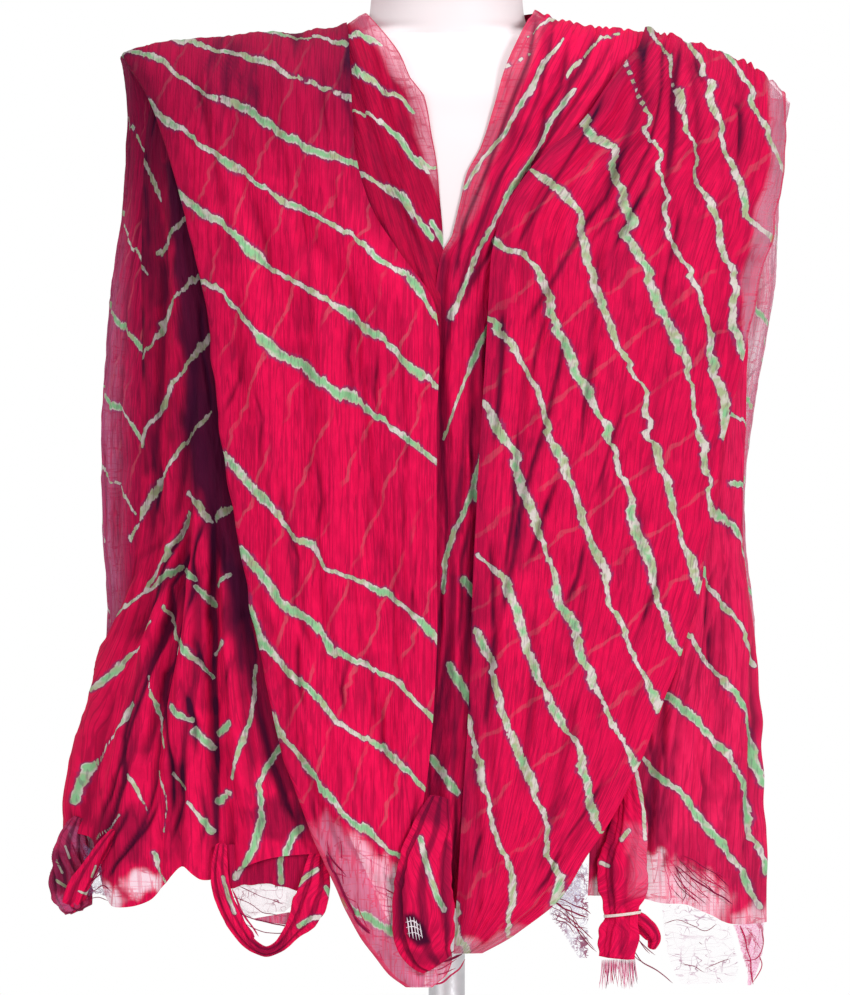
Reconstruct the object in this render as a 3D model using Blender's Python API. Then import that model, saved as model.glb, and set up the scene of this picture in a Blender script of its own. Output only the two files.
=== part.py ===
"""A leheriya dupatta stole draped over a limbless dress form on a stand.

Metres, +Z up, the front faces -Y. The origin is the centre of the stand's
underside. Tables hold millimetres, and MM turns them into metres.
"""
import math

import bmesh
import bpy
from mathutils import Vector

MM = 0.001

# Driving sizes
CLOTH_WALL = 1.5 * MM          # thickness of every fold of cloth
SHEER_WALL = 1.1 * MM          # thickness of the bare net at the hems
SHOULDER_ROUND = 60 * MM       # height over which a shoulder rounds into the chest
SEAM = 0.45 * MM               # how far each side of the shoulder ridge stays from it
CORNER_SEAM = 2.4 * MM         # the same at the shoulder's sharp corner, behind it
FORM_GAP = 1.4 * MM            # chest of the form behind the drape's base surface
NECK_RADIUS = 54 * MM
NECK_TOP = 742 * MM
NECK_CLEARANCE = 4.5 * MM      # from the neck to the top edge of the back fall
TORSO_BOTTOM = 170 * MM
POLE_RADIUS = 12.5 * MM
BASE_RADIUS = 130 * MM
BASE_HEIGHT = 14 * MM
SMALL_GAP = 0.3 * MM           # gap between pieces that touch
HEM_GAP = 0.9 * MM             # gap between a hem and the net below it
FORM_SIDES = 26
ROUND_SIDES = 32
POLE_SIDES = 20
BUNCH_SIDES = 21
LOOP_SIDES = 14
TIE_SIDES = 24
RIDGE_SHARE = 1 / 3            # share of a stretch, from its top, that follows the ridge
FOLD_FADE = 5                  # a fold fades in and out over one part in this many

# The fall down the back
BACK_EDGE_ANGLE = 128          # degrees from the front centre, where the side stretches end
BACK_SEAM_ANGLE = 0.25
BACK_BOTTOM = 150 * MM
BACK_WIDTH = 360 * MM
BACK_MEASURE_HEIGHT = 600 * MM  # height at which its places along X are measured
BACK_HEM_WAVES = ((9, 6), (23, 5))  # radians across the hem, millimetres high

# The drape's own section at each height: an oval with these half sizes
OVAL_COLUMNS = ("z", "left", "right", "front", "back")
OVAL = (
    (720, 228, 242, 84, 80),
    (689, 226, 240, 86, 84),
    (661, 223, 238, 90, 93),
    (630, 222, 234, 98, 102),
    (600, 223, 232, 106, 109),
    (560, 227, 230, 113, 114),
    (520, 233, 226, 117, 117),
    (478, 236, 218, 118, 118),
    (439, 238, 211, 118, 118),
    (400, 238, 206, 118, 119),
    (350, 238, 206, 117, 120),
    (298, 237, 212, 116, 121),
    (253, 245, 216, 115, 122),
    (210, 257, 219, 114, 122),
    (175, 263, 221, 112, 122),
    (107, 268, 222, 111, 122),
    (40, 268, 220, 110, 122),
)

# Height of the shoulder ridge along X
RIDGE_COLUMNS = ("x", "z")
RIDGE = (
    (-232, 681), (-222, 689), (-200, 694), (-178, 697), (-150, 700.5), (-126, 702),
    (-100, 703), (-78, 705.5), (-66, 711), (-56, 715.5), (0, 716), (60, 716.5), (68, 715),
    (78, 710), (97, 706.5), (120, 705), (140, 703.5), (160, 697), (190, 688.5), (205, 681),
    (216, 674), (235, 657), (245, 646),
)

# Rings of the form: half width, half depths, and how square the ring is
FORM_COLUMNS = ("z", "half_width", "front", "back", "squareness")
FORM = (
    (742, 52, 54, 54, 2.0),
    (722, 52.5, 54, 54, 2.0),
    (709, 55, 56, 56, 2.0),
    (702.4, 60, 56, 57, 1.9),
    (699.0, 96, 47, 50, 1.5),
    (697.8, 121, 45, 48, 1.5),
    (695.4, 146, 50, 53, 1.5),
    (691, 162, 56, 58, 1.55),
    (683, 181, 68, 67, 1.7),
    (673, 192, 77, 75, 1.9),
    (660, 198, 86.5, 82, 2.0),
    (640, 199, 93, 88, 2.0),
    (615, 196, 0, 95, 2.0),
    (580, 190, 0, 104, 2.0),
    (545, 181, 0, 107, 2.0),
    (510, 173, 0, 106, 2.0),
    (470, 160, 104, 101, 2.0),
    (420, 144, 92, 92, 2.0),
    (370, 134, 84, 86, 2.0),
    (320, 139, 88, 92, 2.0),
    (260, 153, 98, 103, 2.1),
    (205, 160, 101, 107, 2.1),
    (180, 156, 97, 103, 2.1),
    (170, 144, 88, 93, 2.1),
)

# Stretches of cloth. Each row: height, the two edges along X, and how far the
# cloth stands off the drape's base surface at each edge.
EDGE_COLUMNS = ("z", "inner", "outer", "lift_inner", "lift_outer")
FRONT_PANEL_LEFT = (
    (706, -69, -222, 0.0, 0.0),
    (690, -67, -217, 3.0, 1.5),
    (662, -65, -202, 5.5, 3.6),
    (631, -63, -192, 6.0, 6.0),
    (608, -61, -186, 6.0, 7.0),
    (574, -51, -178, 6.0, 8.0),
    (546, -33, -170, 6.0, 9.0),
    (509, -8, -163, 6.0, 10.0),
    (427, -7, -154, 6.5, 11.0),
    (353, -7, -141, 6.5, 12.0),
    (278, -7, -126, 7.0, 12.0),
    (203, -12, -105, 8.0, 12.0),
    (150, -20, -86, 8.0, 12.0),
    (120, -23, -73, 8.0, 11.0),
    (96, -8, -61, 6.5, 9.5),
    (74, 3, -48, 5.0, 8.0),
    (60, 0, -37, 5.0, 7.0),
    (51, -10, -24, 5.0, 6.0),
)
FRONT_PANEL_RIGHT = (
    (703, 137, 231.5, 0.0, 0.0),
    (682, 128, 232, 6.0, 1.5),
    (655, 105, 230, 12.0, 4.0),
    (631, 87, 227, 14.0, 6.0),
    (611, 67, 223, 15.0, 7.0),
    (591, 50, 219, 15.5, 8.0),
    (569, 36, 216, 15.5, 9.0),
    (543, 29, 208, 15.5, 10.0),
    (516, 27, 202, 15.5, 11.0),
    (482, 25, 194, 15.5, 12.0),
    (434, 22, 183, 15.5, 12.0),
    (380, 19, 173, 15.5, 12.0),
    (312, 16, 162, 15.0, 12.0),
    (244, 14, 141, 14.0, 12.0),
    (176, 10, 113, 13.0, 12.0),
    (140, 8, 90, 12.0, 11.0),
    (108, 6, 70, 11.0, 10.0),
    (86, 5, 42, 10.0, 9.0),
    (74, 4, 20, 10.0, 9.0),
)
NECK_FOLD_LEFT = (
    (714, -56, -72, 0.4, -2.4),
    (706, -50, -76, 0.4, -2.0),
    (696, -42, -79, 0.4, -0.5),
    (682, -32, -79, 0.4, 0.2),
    (664, -24, -78, 0.4, 0.5),
    (655, -16, -78, 0.4, 0.6),
    (625, -10, -76, 0.4, 0.6),
    (608, -7, -75, 0.4, 0.5),
    (584, -5, -68, 0.5, 0.5),
    (560, -3, -55, 0.5, 0.5),
    (540, -3, -44, 0.6, 0.5),
    (509, -4, -30, 0.8, 0.5),
    (470, -4.5, -24, 0.8, 0.5),
)
CENTRE_FALL = (
    (715, 61, 150, 0.4, -2.5),
    (696, 50, 148, 0.4, -1.5),
    (672, 39, 140, 0.4, 0.0),
    (645, 31, 118, 0.5, 1.0),
    (618, 22, 96, 0.5, 2.0),
    (601, 13, 80, 0.6, 2.0),
    (584, 9, 70, 0.6, 2.0),
    (557, 3, 58, 0.8, 2.0),
    (540, -1, 52, 1.0, 2.0),
    (509, -4, 49, 1.5, 2.0),
    (427, -4, 48, 2.0, 2.0),
    (312, -4, 46, 2.0, 2.0),
    (244, -4, 44, 2.0, 2.0),
    (176, -13, 38, 1.6, 2.0),
    (140, -20, 32, 1.2, 2.0),
    (104, -23, 24, 1.0, 1.0),
)
SIDE_FALL_LEFT = (
    (660, -178, -207, -4.4, -6.4),
    (631, -168, -209, -1.6, -3.0),
    (604, -162, -210, -1.0, -2.0),
    (560, -154, -210, 1.0, -1.0),
    (482, -140, -209, 3.5, 0.0),
    (430, -132, -209, 4.2, 0.0),
    (393, -128, -209, 4.7, 0.0),
    (353, -120, -211, 5.2, 1.0),
    (312, -112, -222, 5.2, 1.0),
    (278, -105, -236, 5.2, 0.0),
    (237, -96, -249, 5.2, 0.0),
    (195, -86, -260, 5.2, 0.0),
    (152, -76, -264, 5.2, 0.0),
    (110, -72, -266, 4.4, 0.0),
)
SIDE_FALL_RIGHT = (
    (560, 192, 221, 1.5, -4.0),
    (528, 184, 214, 3.2, -3.0),
    (487, 174, 207, 4.8, -2.0),
    (439, 163, 203, 5.2, 0.0),
    (400, 155, 203, 5.2, 0.0),
    (353, 147, 203, 5.2, 0.0),
    (298, 138, 209, 4.4, 0.0),
    (257, 126, 213, 0.5, 0.0),
    (217, 112, 216, -3.4, 0.0),
    (165, 100, 218, -3.6, 0.0),
    (90, 96, 218, -3.0, 0.0),
)

# Stretches that go round a side. Each row: height, the angles of the two edges
# from the front centre, and the two lifts.
WRAP_COLUMNS = ("z", "front_angle", "back_angle", "lift_front", "lift_back")
SIDE_WRAP_LEFT = (
    (690, 104, 128, -3.0, 0.0),
    (683, 91, 128, -8.5, 0.0),
    (671, 79, 128, -12.0, 0.0),
    (645, 70, 128, -13.0, 0.0),
    (610, 63, 128, -11.0, 0.0),
    (560, 61, 128, -9.0, 0.0),
    (482, 57, 128, -6.5, 0.0),
    (393, 55, 128, -6.5, 0.0),
    (300, 58, 128, -8.0, -3.0),
    (200, 58, 128, -12.0, -6.0),
    (128, 58, 128, -14.0, -6.0),
)
SIDE_WRAP_RIGHT = (
    (668, 97, 128, 0.0, 0.0),
    (656, 92, 128, -3.0, 0.0),
    (640, 84, 128, -10.0, 0.0),
    (620, 77, 128, -13.0, 0.0),
    (595, 70, 128, -12.0, 0.0),
    (528, 58, 128, -13.0, 0.0),
    (439, 55, 128, -9.0, 0.0),
    (353, 55, 128, -8.5, 0.0),
    (250, 55, 128, -8.5, -2.0),
    (150, 56, 128, -9.0, -4.0),
)

# Heights of the uneven hems along X
HEM_COLUMNS = ("x", "z")
HEM_SIDE_LEFT = (
    (-272, 150), (-245, 147), (-238, 124), (-232, 107), (-222, 102), (-205, 106), (-192, 118),
    (-178, 131),
    (-165, 122), (-148, 126), (-120, 137), (-84, 141), (-60, 142),
)
HEM_SIDE_RIGHT = (
    (90, 112), (130, 110), (145, 106), (165, 104), (180, 97), (195, 90), (222, 89),
)

# Nets at the hems: same columns as the stretches above
CORNER_NET_RIGHT = (
    (88.4, 196, 218.5, -0.4, 0.0),
    (76, 200, 218.5, -0.4, 0.0),
    (66, 203, 217, -0.4, 0.0),
    (56, 206, 213.5, -0.4, 0.0),
    (47, 206, 209, -0.4, 0.0),
)
HEM_NET_RIGHT = (
    (90.0, 146, 194.5, -1.8, -0.4),
    (72, 149, 198, -1.8, -0.4),
    (60, 153, 200, -1.8, -0.4),
    (50, 160, 197, -1.8, -0.4),
)
FRONT_NET_RIGHT = (
    (134, 90, 95, 4.0, 4.0),
    (104, 68, 95, 4.0, 4.0),
    (86, 78, 95, 4.0, 4.0),
    (70, 88, 95, 4.0, 4.0),
)

# Bunched lengths of cloth, along their middle from the top down
BUNCH_COLUMNS = ("x", "z", "lift", "half_width", "half_depth")
HEM_LOOP_LEFT = (
    (-155.5, 122.9, 4.0, 6.0, 2.8),
    (-152.0, 108.0, 3.8, 6.0, 3.0),
    (-142.5, 90.0, 3.4, 5.6, 3.2),
    (-131.0, 78.0, 3.0, 5.2, 3.4),
    (-119.0, 74.0, 3.0, 5.2, 3.6),
    (-107.0, 82.0, 3.2, 6.6, 3.8),
    (-96.0, 97.0, 3.4, 8.4, 4.0),
    (-90.5, 116.0, 2.4, 7.4, 3.0),
    (-91.0, 137.6, 2.6, 4.8, 2.2),
)
CORNER_BUNDLE_LEFT = (
    (-255.0, 149.6, -0.6, 6.0, 3.6),
    (-256.0, 134.0, 0.6, 9.0, 5.5),
    (-256.5, 121.0, 1.5, 11.0, 6.5),
    (-254.5, 108.0, 1.5, 11.5, 6.5),
    (-251.0, 99.0, 1.5, 8.5, 5.0),
)
HEM_CURL_FRONT = (
    (-13.0, 146.0, 14.2, 8.0, 3.0),
    (-14.0, 128.0, 16.5, 14.0, 5.0),
    (-15.0, 108.0, 17.3, 17.0, 6.4),
    (-15.0, 90.0, 17.0, 17.0, 6.4),
    (-12.0, 76.0, 15.5, 15.0, 5.2),
    (-6.0, 67.0, 13.5, 9.0, 3.4),
)
TAIL_RIGHT = (
    (122.0, 202.0, 1.2, 6.0, 2.6),
    (124.0, 180.0, 1.6, 8.0, 3.2),
    (122.5, 155.0, 4.4, 12.0, 4.4),
    (118.5, 130.0, 5.6, 17.0, 5.2),
    (116.5, 114.0, 5.6, 15.5, 5.0),
    (115.5, 105.5, 5.6, 10.5, 4.4),
    (115.5, 94.5, 5.6, 10.5, 4.4),
    (117.0, 86.0, 5.6, 14.5, 5.0),
    (114.5, 69.0, 5.6, 12.0, 4.2),
)
BUNCH_PLEATS = 7
PLEAT_DEPTH = 0.13
TIE_HEIGHTS = (102.5, 96.5)
TIE_WALL = 1.6 * MM
FRINGE_STRANDS = 11
FRINGE_HALF_WIDTH = 11.5 * MM
FRINGE_TOP = 66.6 * MM
FRINGE_STRIP = 3.0 * MM
FRINGE_LENGTH = 19 * MM
FRINGE_DEPTH = 1.2 * MM

# Long folds. Each row: place across at the top and at the bottom, where the fold
# starts and ends on the way down, its half width and its height in millimetres.
FOLD_COLUMNS = ("across_top", "across_bottom", "start", "end", "half_width", "height")
FOLDS_PANEL_LEFT = (
    (0.04, 0.06, 0.10, 0.34, 9, -1.6),
    (0.13, 0.16, 0.05, 0.95, 11, 3.0),
    (0.30, 0.10, 0.02, 0.60, 13, 3.2),
    (0.42, 0.34, 0.05, 0.85, 9, -2.6),
    (0.52, 0.50, 0.10, 1.00, 14, 3.4),
    (0.66, 0.66, 0.04, 0.70, 10, -2.4),
    (0.78, 0.80, 0.08, 0.92, 13, 3.0),
    (0.90, 0.92, 0.30, 0.98, 8, -2.2),
    (0.20, 0.30, 0.55, 1.00, 8, -2.4),
    (0.08, 0.24, 0.68, 1.00, 8, 3.0),
    (0.40, 0.62, 0.72, 1.00, 8, 2.6),
)
FOLDS_PANEL_RIGHT = (
    (0.06, 0.10, 0.00, 0.45, 7, 3.4),
    (0.16, 0.20, 0.00, 0.50, 6, -2.8),
    (0.26, 0.24, 0.00, 0.40, 7, 3.4),
    (0.38, 0.34, 0.00, 0.48, 7, -2.6),
    (0.50, 0.46, 0.02, 0.70, 12, 3.4),
    (0.64, 0.60, 0.08, 0.80, 9, -2.4),
    (0.76, 0.74, 0.05, 0.95, 13, 3.0),
    (0.89, 0.88, 0.10, 0.80, 8, -2.2),
    (0.14, 0.18, 0.45, 1.00, 10, 3.0),
    (0.34, 0.38, 0.50, 1.00, 9, -2.4),
    (0.58, 0.70, 0.55, 1.00, 12, 2.8),
)
FOLDS_NECK_LEFT = (
    (0.30, 0.35, 0.05, 0.95, 5, 1.5),
    (0.62, 0.70, 0.10, 0.90, 5, 1.4),
)
FOLDS_CENTRE = (
    (0.12, 0.38, 0.15, 1.00, 5, 5.0),
    (0.30, 0.52, 0.10, 1.00, 5, 6.0),
    (0.48, 0.68, 0.05, 0.98, 5, 6.6),
    (0.66, 0.84, 0.02, 0.92, 5, 6.0),
)
FOLDS_SIDE_LEFT = (
    (0.25, 0.22, 0.02, 0.60, 7, -3.0),
    (0.50, 0.45, 0.05, 0.62, 8, 3.5),
    (0.80, 0.78, 0.05, 0.55, 6, -3.0),
    (0.30, 0.30, 0.52, 1.00, 7, 5.0),
    (0.42, 0.40, 0.50, 1.00, 6, -4.5),
    (0.50, 0.52, 0.48, 1.00, 6, 5.0),
    (0.60, 0.66, 0.50, 1.00, 7, -4.5),
    (0.66, 0.78, 0.50, 1.00, 7, 5.0),
    (0.72, 0.90, 0.52, 1.00, 7, -4.0),
)
FOLDS_SIDE_RIGHT = (
    (0.30, 0.26, 0.10, 0.90, 7, -3.0),
    (0.46, 0.42, 0.20, 1.00, 8, 4.0),
    (0.62, 0.60, 0.15, 1.00, 7, -3.5),
    (0.78, 0.80, 0.20, 0.95, 9, 4.0),
)
FOLDS_WRAP = (
    (0.30, 0.26, 0.15, 1.00, 8, -3.0),
    (0.62, 0.60, 0.08, 1.00, 10, 4.0),
    (0.80, 0.82, 0.10, 1.00, 9, -3.5),
)
FOLDS_BACK = (
    (0.08, 0.10, 0.12, 1.00, 12, 4.0),
    (0.20, 0.17, 0.10, 1.00, 11, -4.0),
    (0.31, 0.30, 0.15, 1.00, 13, 5.0),
    (0.42, 0.38, 0.06, 0.92, 10, -4.0),
    (0.50, 0.49, 0.04, 1.00, 12, 4.5),
    (0.60, 0.62, 0.08, 1.00, 10, -4.0),
    (0.70, 0.72, 0.12, 0.96, 13, 5.0),
    (0.82, 0.80, 0.10, 1.00, 10, -4.0),
    (0.92, 0.91, 0.15, 1.00, 12, 3.5),
)

# Distance round a side for each radian of its angle, for the folds' widths
SIDE_SPAN = 170 * MM

# Rolled outer edge of a front panel
TUCK_SHARE = 0.6               # of the panel's width at most
ROLL_RADIUS = 3.0 * MM
ROLL_STEPS = 4
TUCK_WIDTH = 22 * MM
TUCK_STEPS = 2


def clear_scene():
    for obj in list(bpy.data.objects):
        bpy.data.objects.remove(obj, do_unlink=True)


def read(table, place, column):
    """A table's column at a place along its first column, through a smooth curve."""
    rows = sorted(table)
    place = min(max(place, rows[0][0]), rows[-1][0])
    index = 0
    while index < len(rows) - 2 and place > rows[index + 1][0]:
        index += 1
    low, high = rows[index], rows[index + 1]
    before = rows[max(index - 1, 0)]
    after = rows[min(index + 2, len(rows) - 1)]
    span = high[0] - low[0]
    part = (place - low[0]) / span
    slope_low = span * (high[column] - before[column]) / (high[0] - before[0])
    slope_high = span * (after[column] - low[column]) / (after[0] - low[0])
    square = part * part
    cube = square * part
    return (
        (2 * cube - 3 * square + 1) * low[column]
        + (cube - 2 * square + part) * slope_low
        + (3 * square - 2 * cube) * high[column]
        + (cube - square) * slope_high
    )


def column_of(columns, name):
    return columns.index(name)


def oval(name, z):
    return read(OVAL, z / MM, column_of(OVAL_COLUMNS, name)) * MM


def ridge_height(x):
    return read(RIDGE, x / MM, column_of(RIDGE_COLUMNS, "z")) * MM


def drape_point(angle, z, side, lift, slide=0.0):
    """A point of the drape: angle in radians from the front centre, side -1 or 1.

    lift is how far it stands off the base surface, slide how far it lies further round.
    """
    width = oval("left" if side < 0 else "right", z)
    depth = oval("front" if angle < math.pi / 2 else "back", z)
    x = side * width * math.sin(angle)
    below = min(max((ridge_height(x) - z) / SHOULDER_ROUND, 0.0), 1.0)
    upright = math.sqrt(max(1 - (1 - below) ** 2, 0.0))
    outward = Vector((math.sin(angle) * side / width, -math.cos(angle) / depth, 0)).normalized()
    normal = outward * upright + Vector((0, 0, 1 - below))
    y = -depth * math.cos(angle) * upright
    tangent = Vector((
        side * width * math.cos(angle),
        depth * math.sin(angle) * max(upright, 0.05),
        0,
    )).normalized()
    return Vector((x, y, z)) + normal * lift + tangent * slide


def angle_at(x, z, side):
    width = oval("left" if side < 0 else "right", z)
    return math.asin(min(max(side * x / width, -1.0), 1.0))


def fold_height(folds, across, down, width):
    """Sum of the long folds at one place of a stretch, in metres."""
    total = 0.0
    for top, bottom, start, end, half_width, height in folds:
        if not start < down < end:
            continue
        centre = top + (bottom - top) * down
        away = (across - centre) * width / (half_width * MM)
        along = (down - start) / (end - start)
        fade = min(1.0, along * FOLD_FADE)
        if end < 1.0:
            fade = min(fade, (1 - along) * FOLD_FADE)
        total += height * MM * math.exp(-away * away) * fade
    return total


def mix(low, high, part):
    return low + (high - low) * part


def edge_rows(table, top_steps, steps):
    """Nominal heights of a stretch's rows: close together over the shoulder, then even."""
    top, bottom = table[0][0] * MM, table[-1][0] * MM
    heights = []
    for step in range(top_steps):
        turn = math.pi / 2 * step / top_steps
        heights.append(top - SHOULDER_ROUND * (1 - math.cos(turn)))
    start = top - SHOULDER_ROUND if top_steps else top
    for step in range(steps + 1):
        heights.append(mix(start, bottom, step / steps))
    return heights


def front_grid(side, table, columns, top_steps, steps, folds, hem=None, brim=None, rolled=False):
    """Rows of points of a stretch that faces the front, with an uneven hem or top brim."""
    names = EDGE_COLUMNS
    top, bottom = table[0][0] * MM, table[-1][0] * MM
    grid = []
    for nominal in edge_rows(table, top_steps, steps):
        inner = read(table, nominal / MM, column_of(names, "inner")) * MM
        outer = read(table, nominal / MM, column_of(names, "outer")) * MM
        lift_inner = read(table, nominal / MM, column_of(names, "lift_inner")) * MM
        lift_outer = read(table, nominal / MM, column_of(names, "lift_outer")) * MM
        down = (top - nominal) / (top - bottom)
        width = abs(outer - inner)
        row = []
        for step in range(columns + 1):
            across = step / columns
            x = mix(inner, outer, across)
            z = nominal
            if top_steps:
                z += (ridge_height(x) - top) * max(0.0, 1 - down / RIDGE_SHARE)
            if hem:
                z += (read(hem, x / MM, 1) * MM - bottom) * down ** 2
            if brim:
                z += (read(brim, x / MM, 1) * MM - HEM_GAP - top) * (1 - down)
            lift = mix(lift_inner, lift_outer, across)
            lift += fold_height(folds, across, down, width)
            row.append((x, z, lift, 0.0))
        if rolled:
            row += rolled_edge(row[-1], side, min(TUCK_WIDTH, TUCK_SHARE * width))
        grid.append([place_front(*point, top_steps) for point in row])
    return grid


def rolled_edge(edge, side, tuck):
    """Points that turn back under a panel's outer edge."""
    x, z, lift, _ = edge
    points = []
    for step in range(1, ROLL_STEPS + 1):
        turn = math.pi * step / ROLL_STEPS
        out = ROLL_RADIUS * math.sin(turn)
        points.append((x, z, lift - ROLL_RADIUS * (1 - math.cos(turn)), out))
    for step in range(1, TUCK_STEPS + 1):
        inward = side * tuck * step / TUCK_STEPS
        points.append((x - inward, z, lift - 2 * ROLL_RADIUS, 0.0))
    return points


def place_front(x, z, lift, slide, over_shoulder):
    side = -1 if x < 0 else 1
    point = drape_point(angle_at(x, z, side), z, side, lift, slide)
    if over_shoulder:
        point.y = min(point.y, -SEAM)
    return point


def wrap_grid(side, table, columns, top_steps, steps, folds):
    """Rows of points of a stretch that goes round a side to the back, from the ridge down."""
    names = WRAP_COLUMNS
    top, bottom = table[0][0] * MM, table[-1][0] * MM
    grid = []
    for nominal in edge_rows(table, top_steps, steps):
        down = (top - nominal) / (top - bottom)
        front = math.radians(read(table, nominal / MM, column_of(names, "front_angle")))
        back = math.radians(read(table, nominal / MM, column_of(names, "back_angle")))
        lift_front = read(table, nominal / MM, column_of(names, "lift_front")) * MM
        lift_back = read(table, nominal / MM, column_of(names, "lift_back")) * MM
        width = (back - front) * SIDE_SPAN
        row = []
        for step in range(columns + 1):
            across = step / columns
            angle = mix(front, back, across)
            lift = mix(lift_front, lift_back, min(1.0, across * 2))
            lift += fold_height(folds, across, down, width)
            row.append(wrap_point(angle, nominal, top, down, side, lift))
        grid.append(row)
    return grid


def wrap_point(angle, nominal, top, down, side, lift):
    x = side * oval("left" if side < 0 else "right", nominal) * math.sin(angle)
    z = nominal + (ridge_height(x) - top) * max(0.0, 1 - down / RIDGE_SHARE)
    point = drape_point(angle, z, side, lift)
    if angle > math.pi / 2:
        point.y = max(point.y, CORNER_SEAM)
    return point


def back_grid(columns, top_steps, steps):
    """Rows of points of the fall down the back, with its top edge round the neck."""
    first = math.radians(BACK_EDGE_ANGLE + BACK_SEAM_ANGLE)
    grid = []
    for index in range(top_steps + steps + 1):
        row = []
        for step in range(columns + 1):
            across = step / columns
            turn = mix(first, 2 * math.pi - first, across)
            side = -1 if turn < math.pi else 1
            angle = turn if turn < math.pi else 2 * math.pi - turn
            half = oval("left" if side < 0 else "right", BACK_MEASURE_HEIGHT)
            x = side * half * math.sin(angle)
            row.append(back_point(x, index, top_steps, steps, across, angle, side))
        grid.append(row)
    return grid


def back_point(x, index, top_steps, steps, across, angle, side):
    top = ridge_height(x)
    depth = oval("back", top - SHOULDER_ROUND)
    neck = NECK_RADIUS + NECK_CLEARANCE
    start = math.sqrt(max(neck ** 2 - x ** 2, 0.0)) if abs(x) < neck else SEAM
    first_turn = math.asin(min(start / depth, 1.0))
    down = index / (top_steps + steps)
    if index < top_steps:
        turn = mix(first_turn, math.pi / 2, index / top_steps)
        z = top - SHOULDER_ROUND * (1 - math.cos(turn))
        z += (SHOULDER_ROUND * (1 - math.cos(first_turn))) * (1 - index / top_steps)
    else:
        waves = sum(height * math.sin(turns * across) for turns, height in BACK_HEM_WAVES)
        hem = BACK_BOTTOM + waves * MM
        z = mix(top - SHOULDER_ROUND, hem, (index - top_steps) / steps)
    lift = fold_height(FOLDS_BACK, across, down, BACK_WIDTH)
    point = drape_point(angle, z, side, lift)
    if index < top_steps:
        turn = mix(first_turn, math.pi / 2, index / top_steps)
        point = Vector((x, max(start, -math.cos(angle) * depth * math.sin(turn)), z))
        point += Vector((0, math.sin(turn), math.cos(turn))) * lift
    return point


def material(name, color, roughness, metallic=0.0):
    made = bpy.data.materials.new(name)
    made.use_nodes = True
    shader = made.node_tree.nodes["Principled BSDF"]
    shader.inputs["Base Color"].default_value = (*color, 1.0)
    shader.inputs["Roughness"].default_value = roughness
    shader.inputs["Metallic"].default_value = metallic
    return made


def add_object(name, mesh, color, roughness=0.75, metallic=0.0):
    obj = bpy.data.objects.new(name, mesh)
    bpy.context.scene.collection.objects.link(obj)
    mesh.materials.append(material(name, color, roughness, metallic))
    return obj


def add_sheet(name, grid, color, thickness=CLOTH_WALL, flip=False):
    """A grid of points as a wall of cloth whose faces look outwards."""
    shape = bmesh.new()
    rows = [[shape.verts.new(point) for point in row] for row in grid]
    for upper, lower in zip(rows, rows[1:]):
        for index in range(len(upper) - 1):
            corners = [upper[index], lower[index], lower[index + 1], upper[index + 1]]
            shape.faces.new(corners[::-1] if flip else corners)
    mesh = bpy.data.meshes.new(name)
    shape.to_mesh(mesh)
    shape.free()
    mesh.shade_smooth()
    obj = add_object(name, mesh, color)
    wall = obj.modifiers.new("wall", "SOLIDIFY")
    wall.thickness = thickness
    wall.offset = -1
    return obj


def add_rings(name, rings, color, roughness=0.75, metallic=0.0):
    """A closed body through rings of points, listed from the top down."""
    shape = bmesh.new()
    rows = [[shape.verts.new(point) for point in ring] for ring in rings]
    count = len(rows[0])
    for upper, lower in zip(rows, rows[1:]):
        for index in range(count):
            following = (index + 1) % count
            shape.faces.new((upper[index], lower[index], lower[following], upper[following]))
    shape.faces.new(rows[0])
    shape.faces.new(rows[-1][::-1])
    mesh = bpy.data.meshes.new(name)
    shape.to_mesh(mesh)
    shape.free()
    mesh.shade_smooth()
    return add_object(name, mesh, color, roughness, metallic)


def bunch_rings(table, count, steps):
    """Pleated rings of points across a bunched length of cloth."""
    middles = []
    stretch = len(table) - 1
    for step in range(steps + 1):
        place = stretch * step / steps
        values = [read_row(table, place, column) * MM for column in range(len(BUNCH_COLUMNS))]
        middles.append(values)
    centres = [place_front(x, z, lift, 0.0, 0) for x, z, lift, _, _ in middles]
    rings = []
    for index, (_, _, _, half_width, half_depth) in enumerate(middles):
        ahead = centres[min(index + 1, steps)] - centres[max(index - 1, 0)]
        across = Vector((0, 1, 0)).cross(ahead).normalized()
        outward = ahead.cross(across).normalized()
        ring = []
        for step in range(count):
            turn = 2 * math.pi * step / count
            pleat = 1 + PLEAT_DEPTH * math.cos(BUNCH_PLEATS * turn)
            ring.append(
                centres[index]
                + across * (half_width * pleat * math.cos(turn))
                + outward * (half_depth * pleat * math.sin(turn))
            )
        rings.append(ring[::-1])
    return rings


def read_row(table, place, column):
    """A column's value part of the way from row to row, through a smooth curve."""
    numbered = [(index, row[column]) for index, row in enumerate(table)]
    return read(numbered, place, 1)


def form_ring(row, count):
    """One ring of the form. A front depth of 0 follows the drape just behind it."""
    z, half_width, front, back, squareness = row
    z, half_width, back = z * MM, half_width * MM, back * MM
    front = front * MM if front else oval("front", z) - FORM_GAP
    ring = []
    for step in range(count):
        turn = 2 * math.pi * step / count
        across, along = math.cos(turn), math.sin(turn)
        depth = back if along > 0 else front
        ring.append((
            half_width * math.copysign(abs(across) ** (2 / squareness), across),
            depth * math.copysign(abs(along) ** (2 / squareness), along),
            z,
        ))
    return ring


def round_ring(radius, z, count=ROUND_SIDES):
    turns = [2 * math.pi * step / count for step in range(count)]
    return [(radius * math.cos(turn), radius * math.sin(turn), z) for turn in turns]


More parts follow.
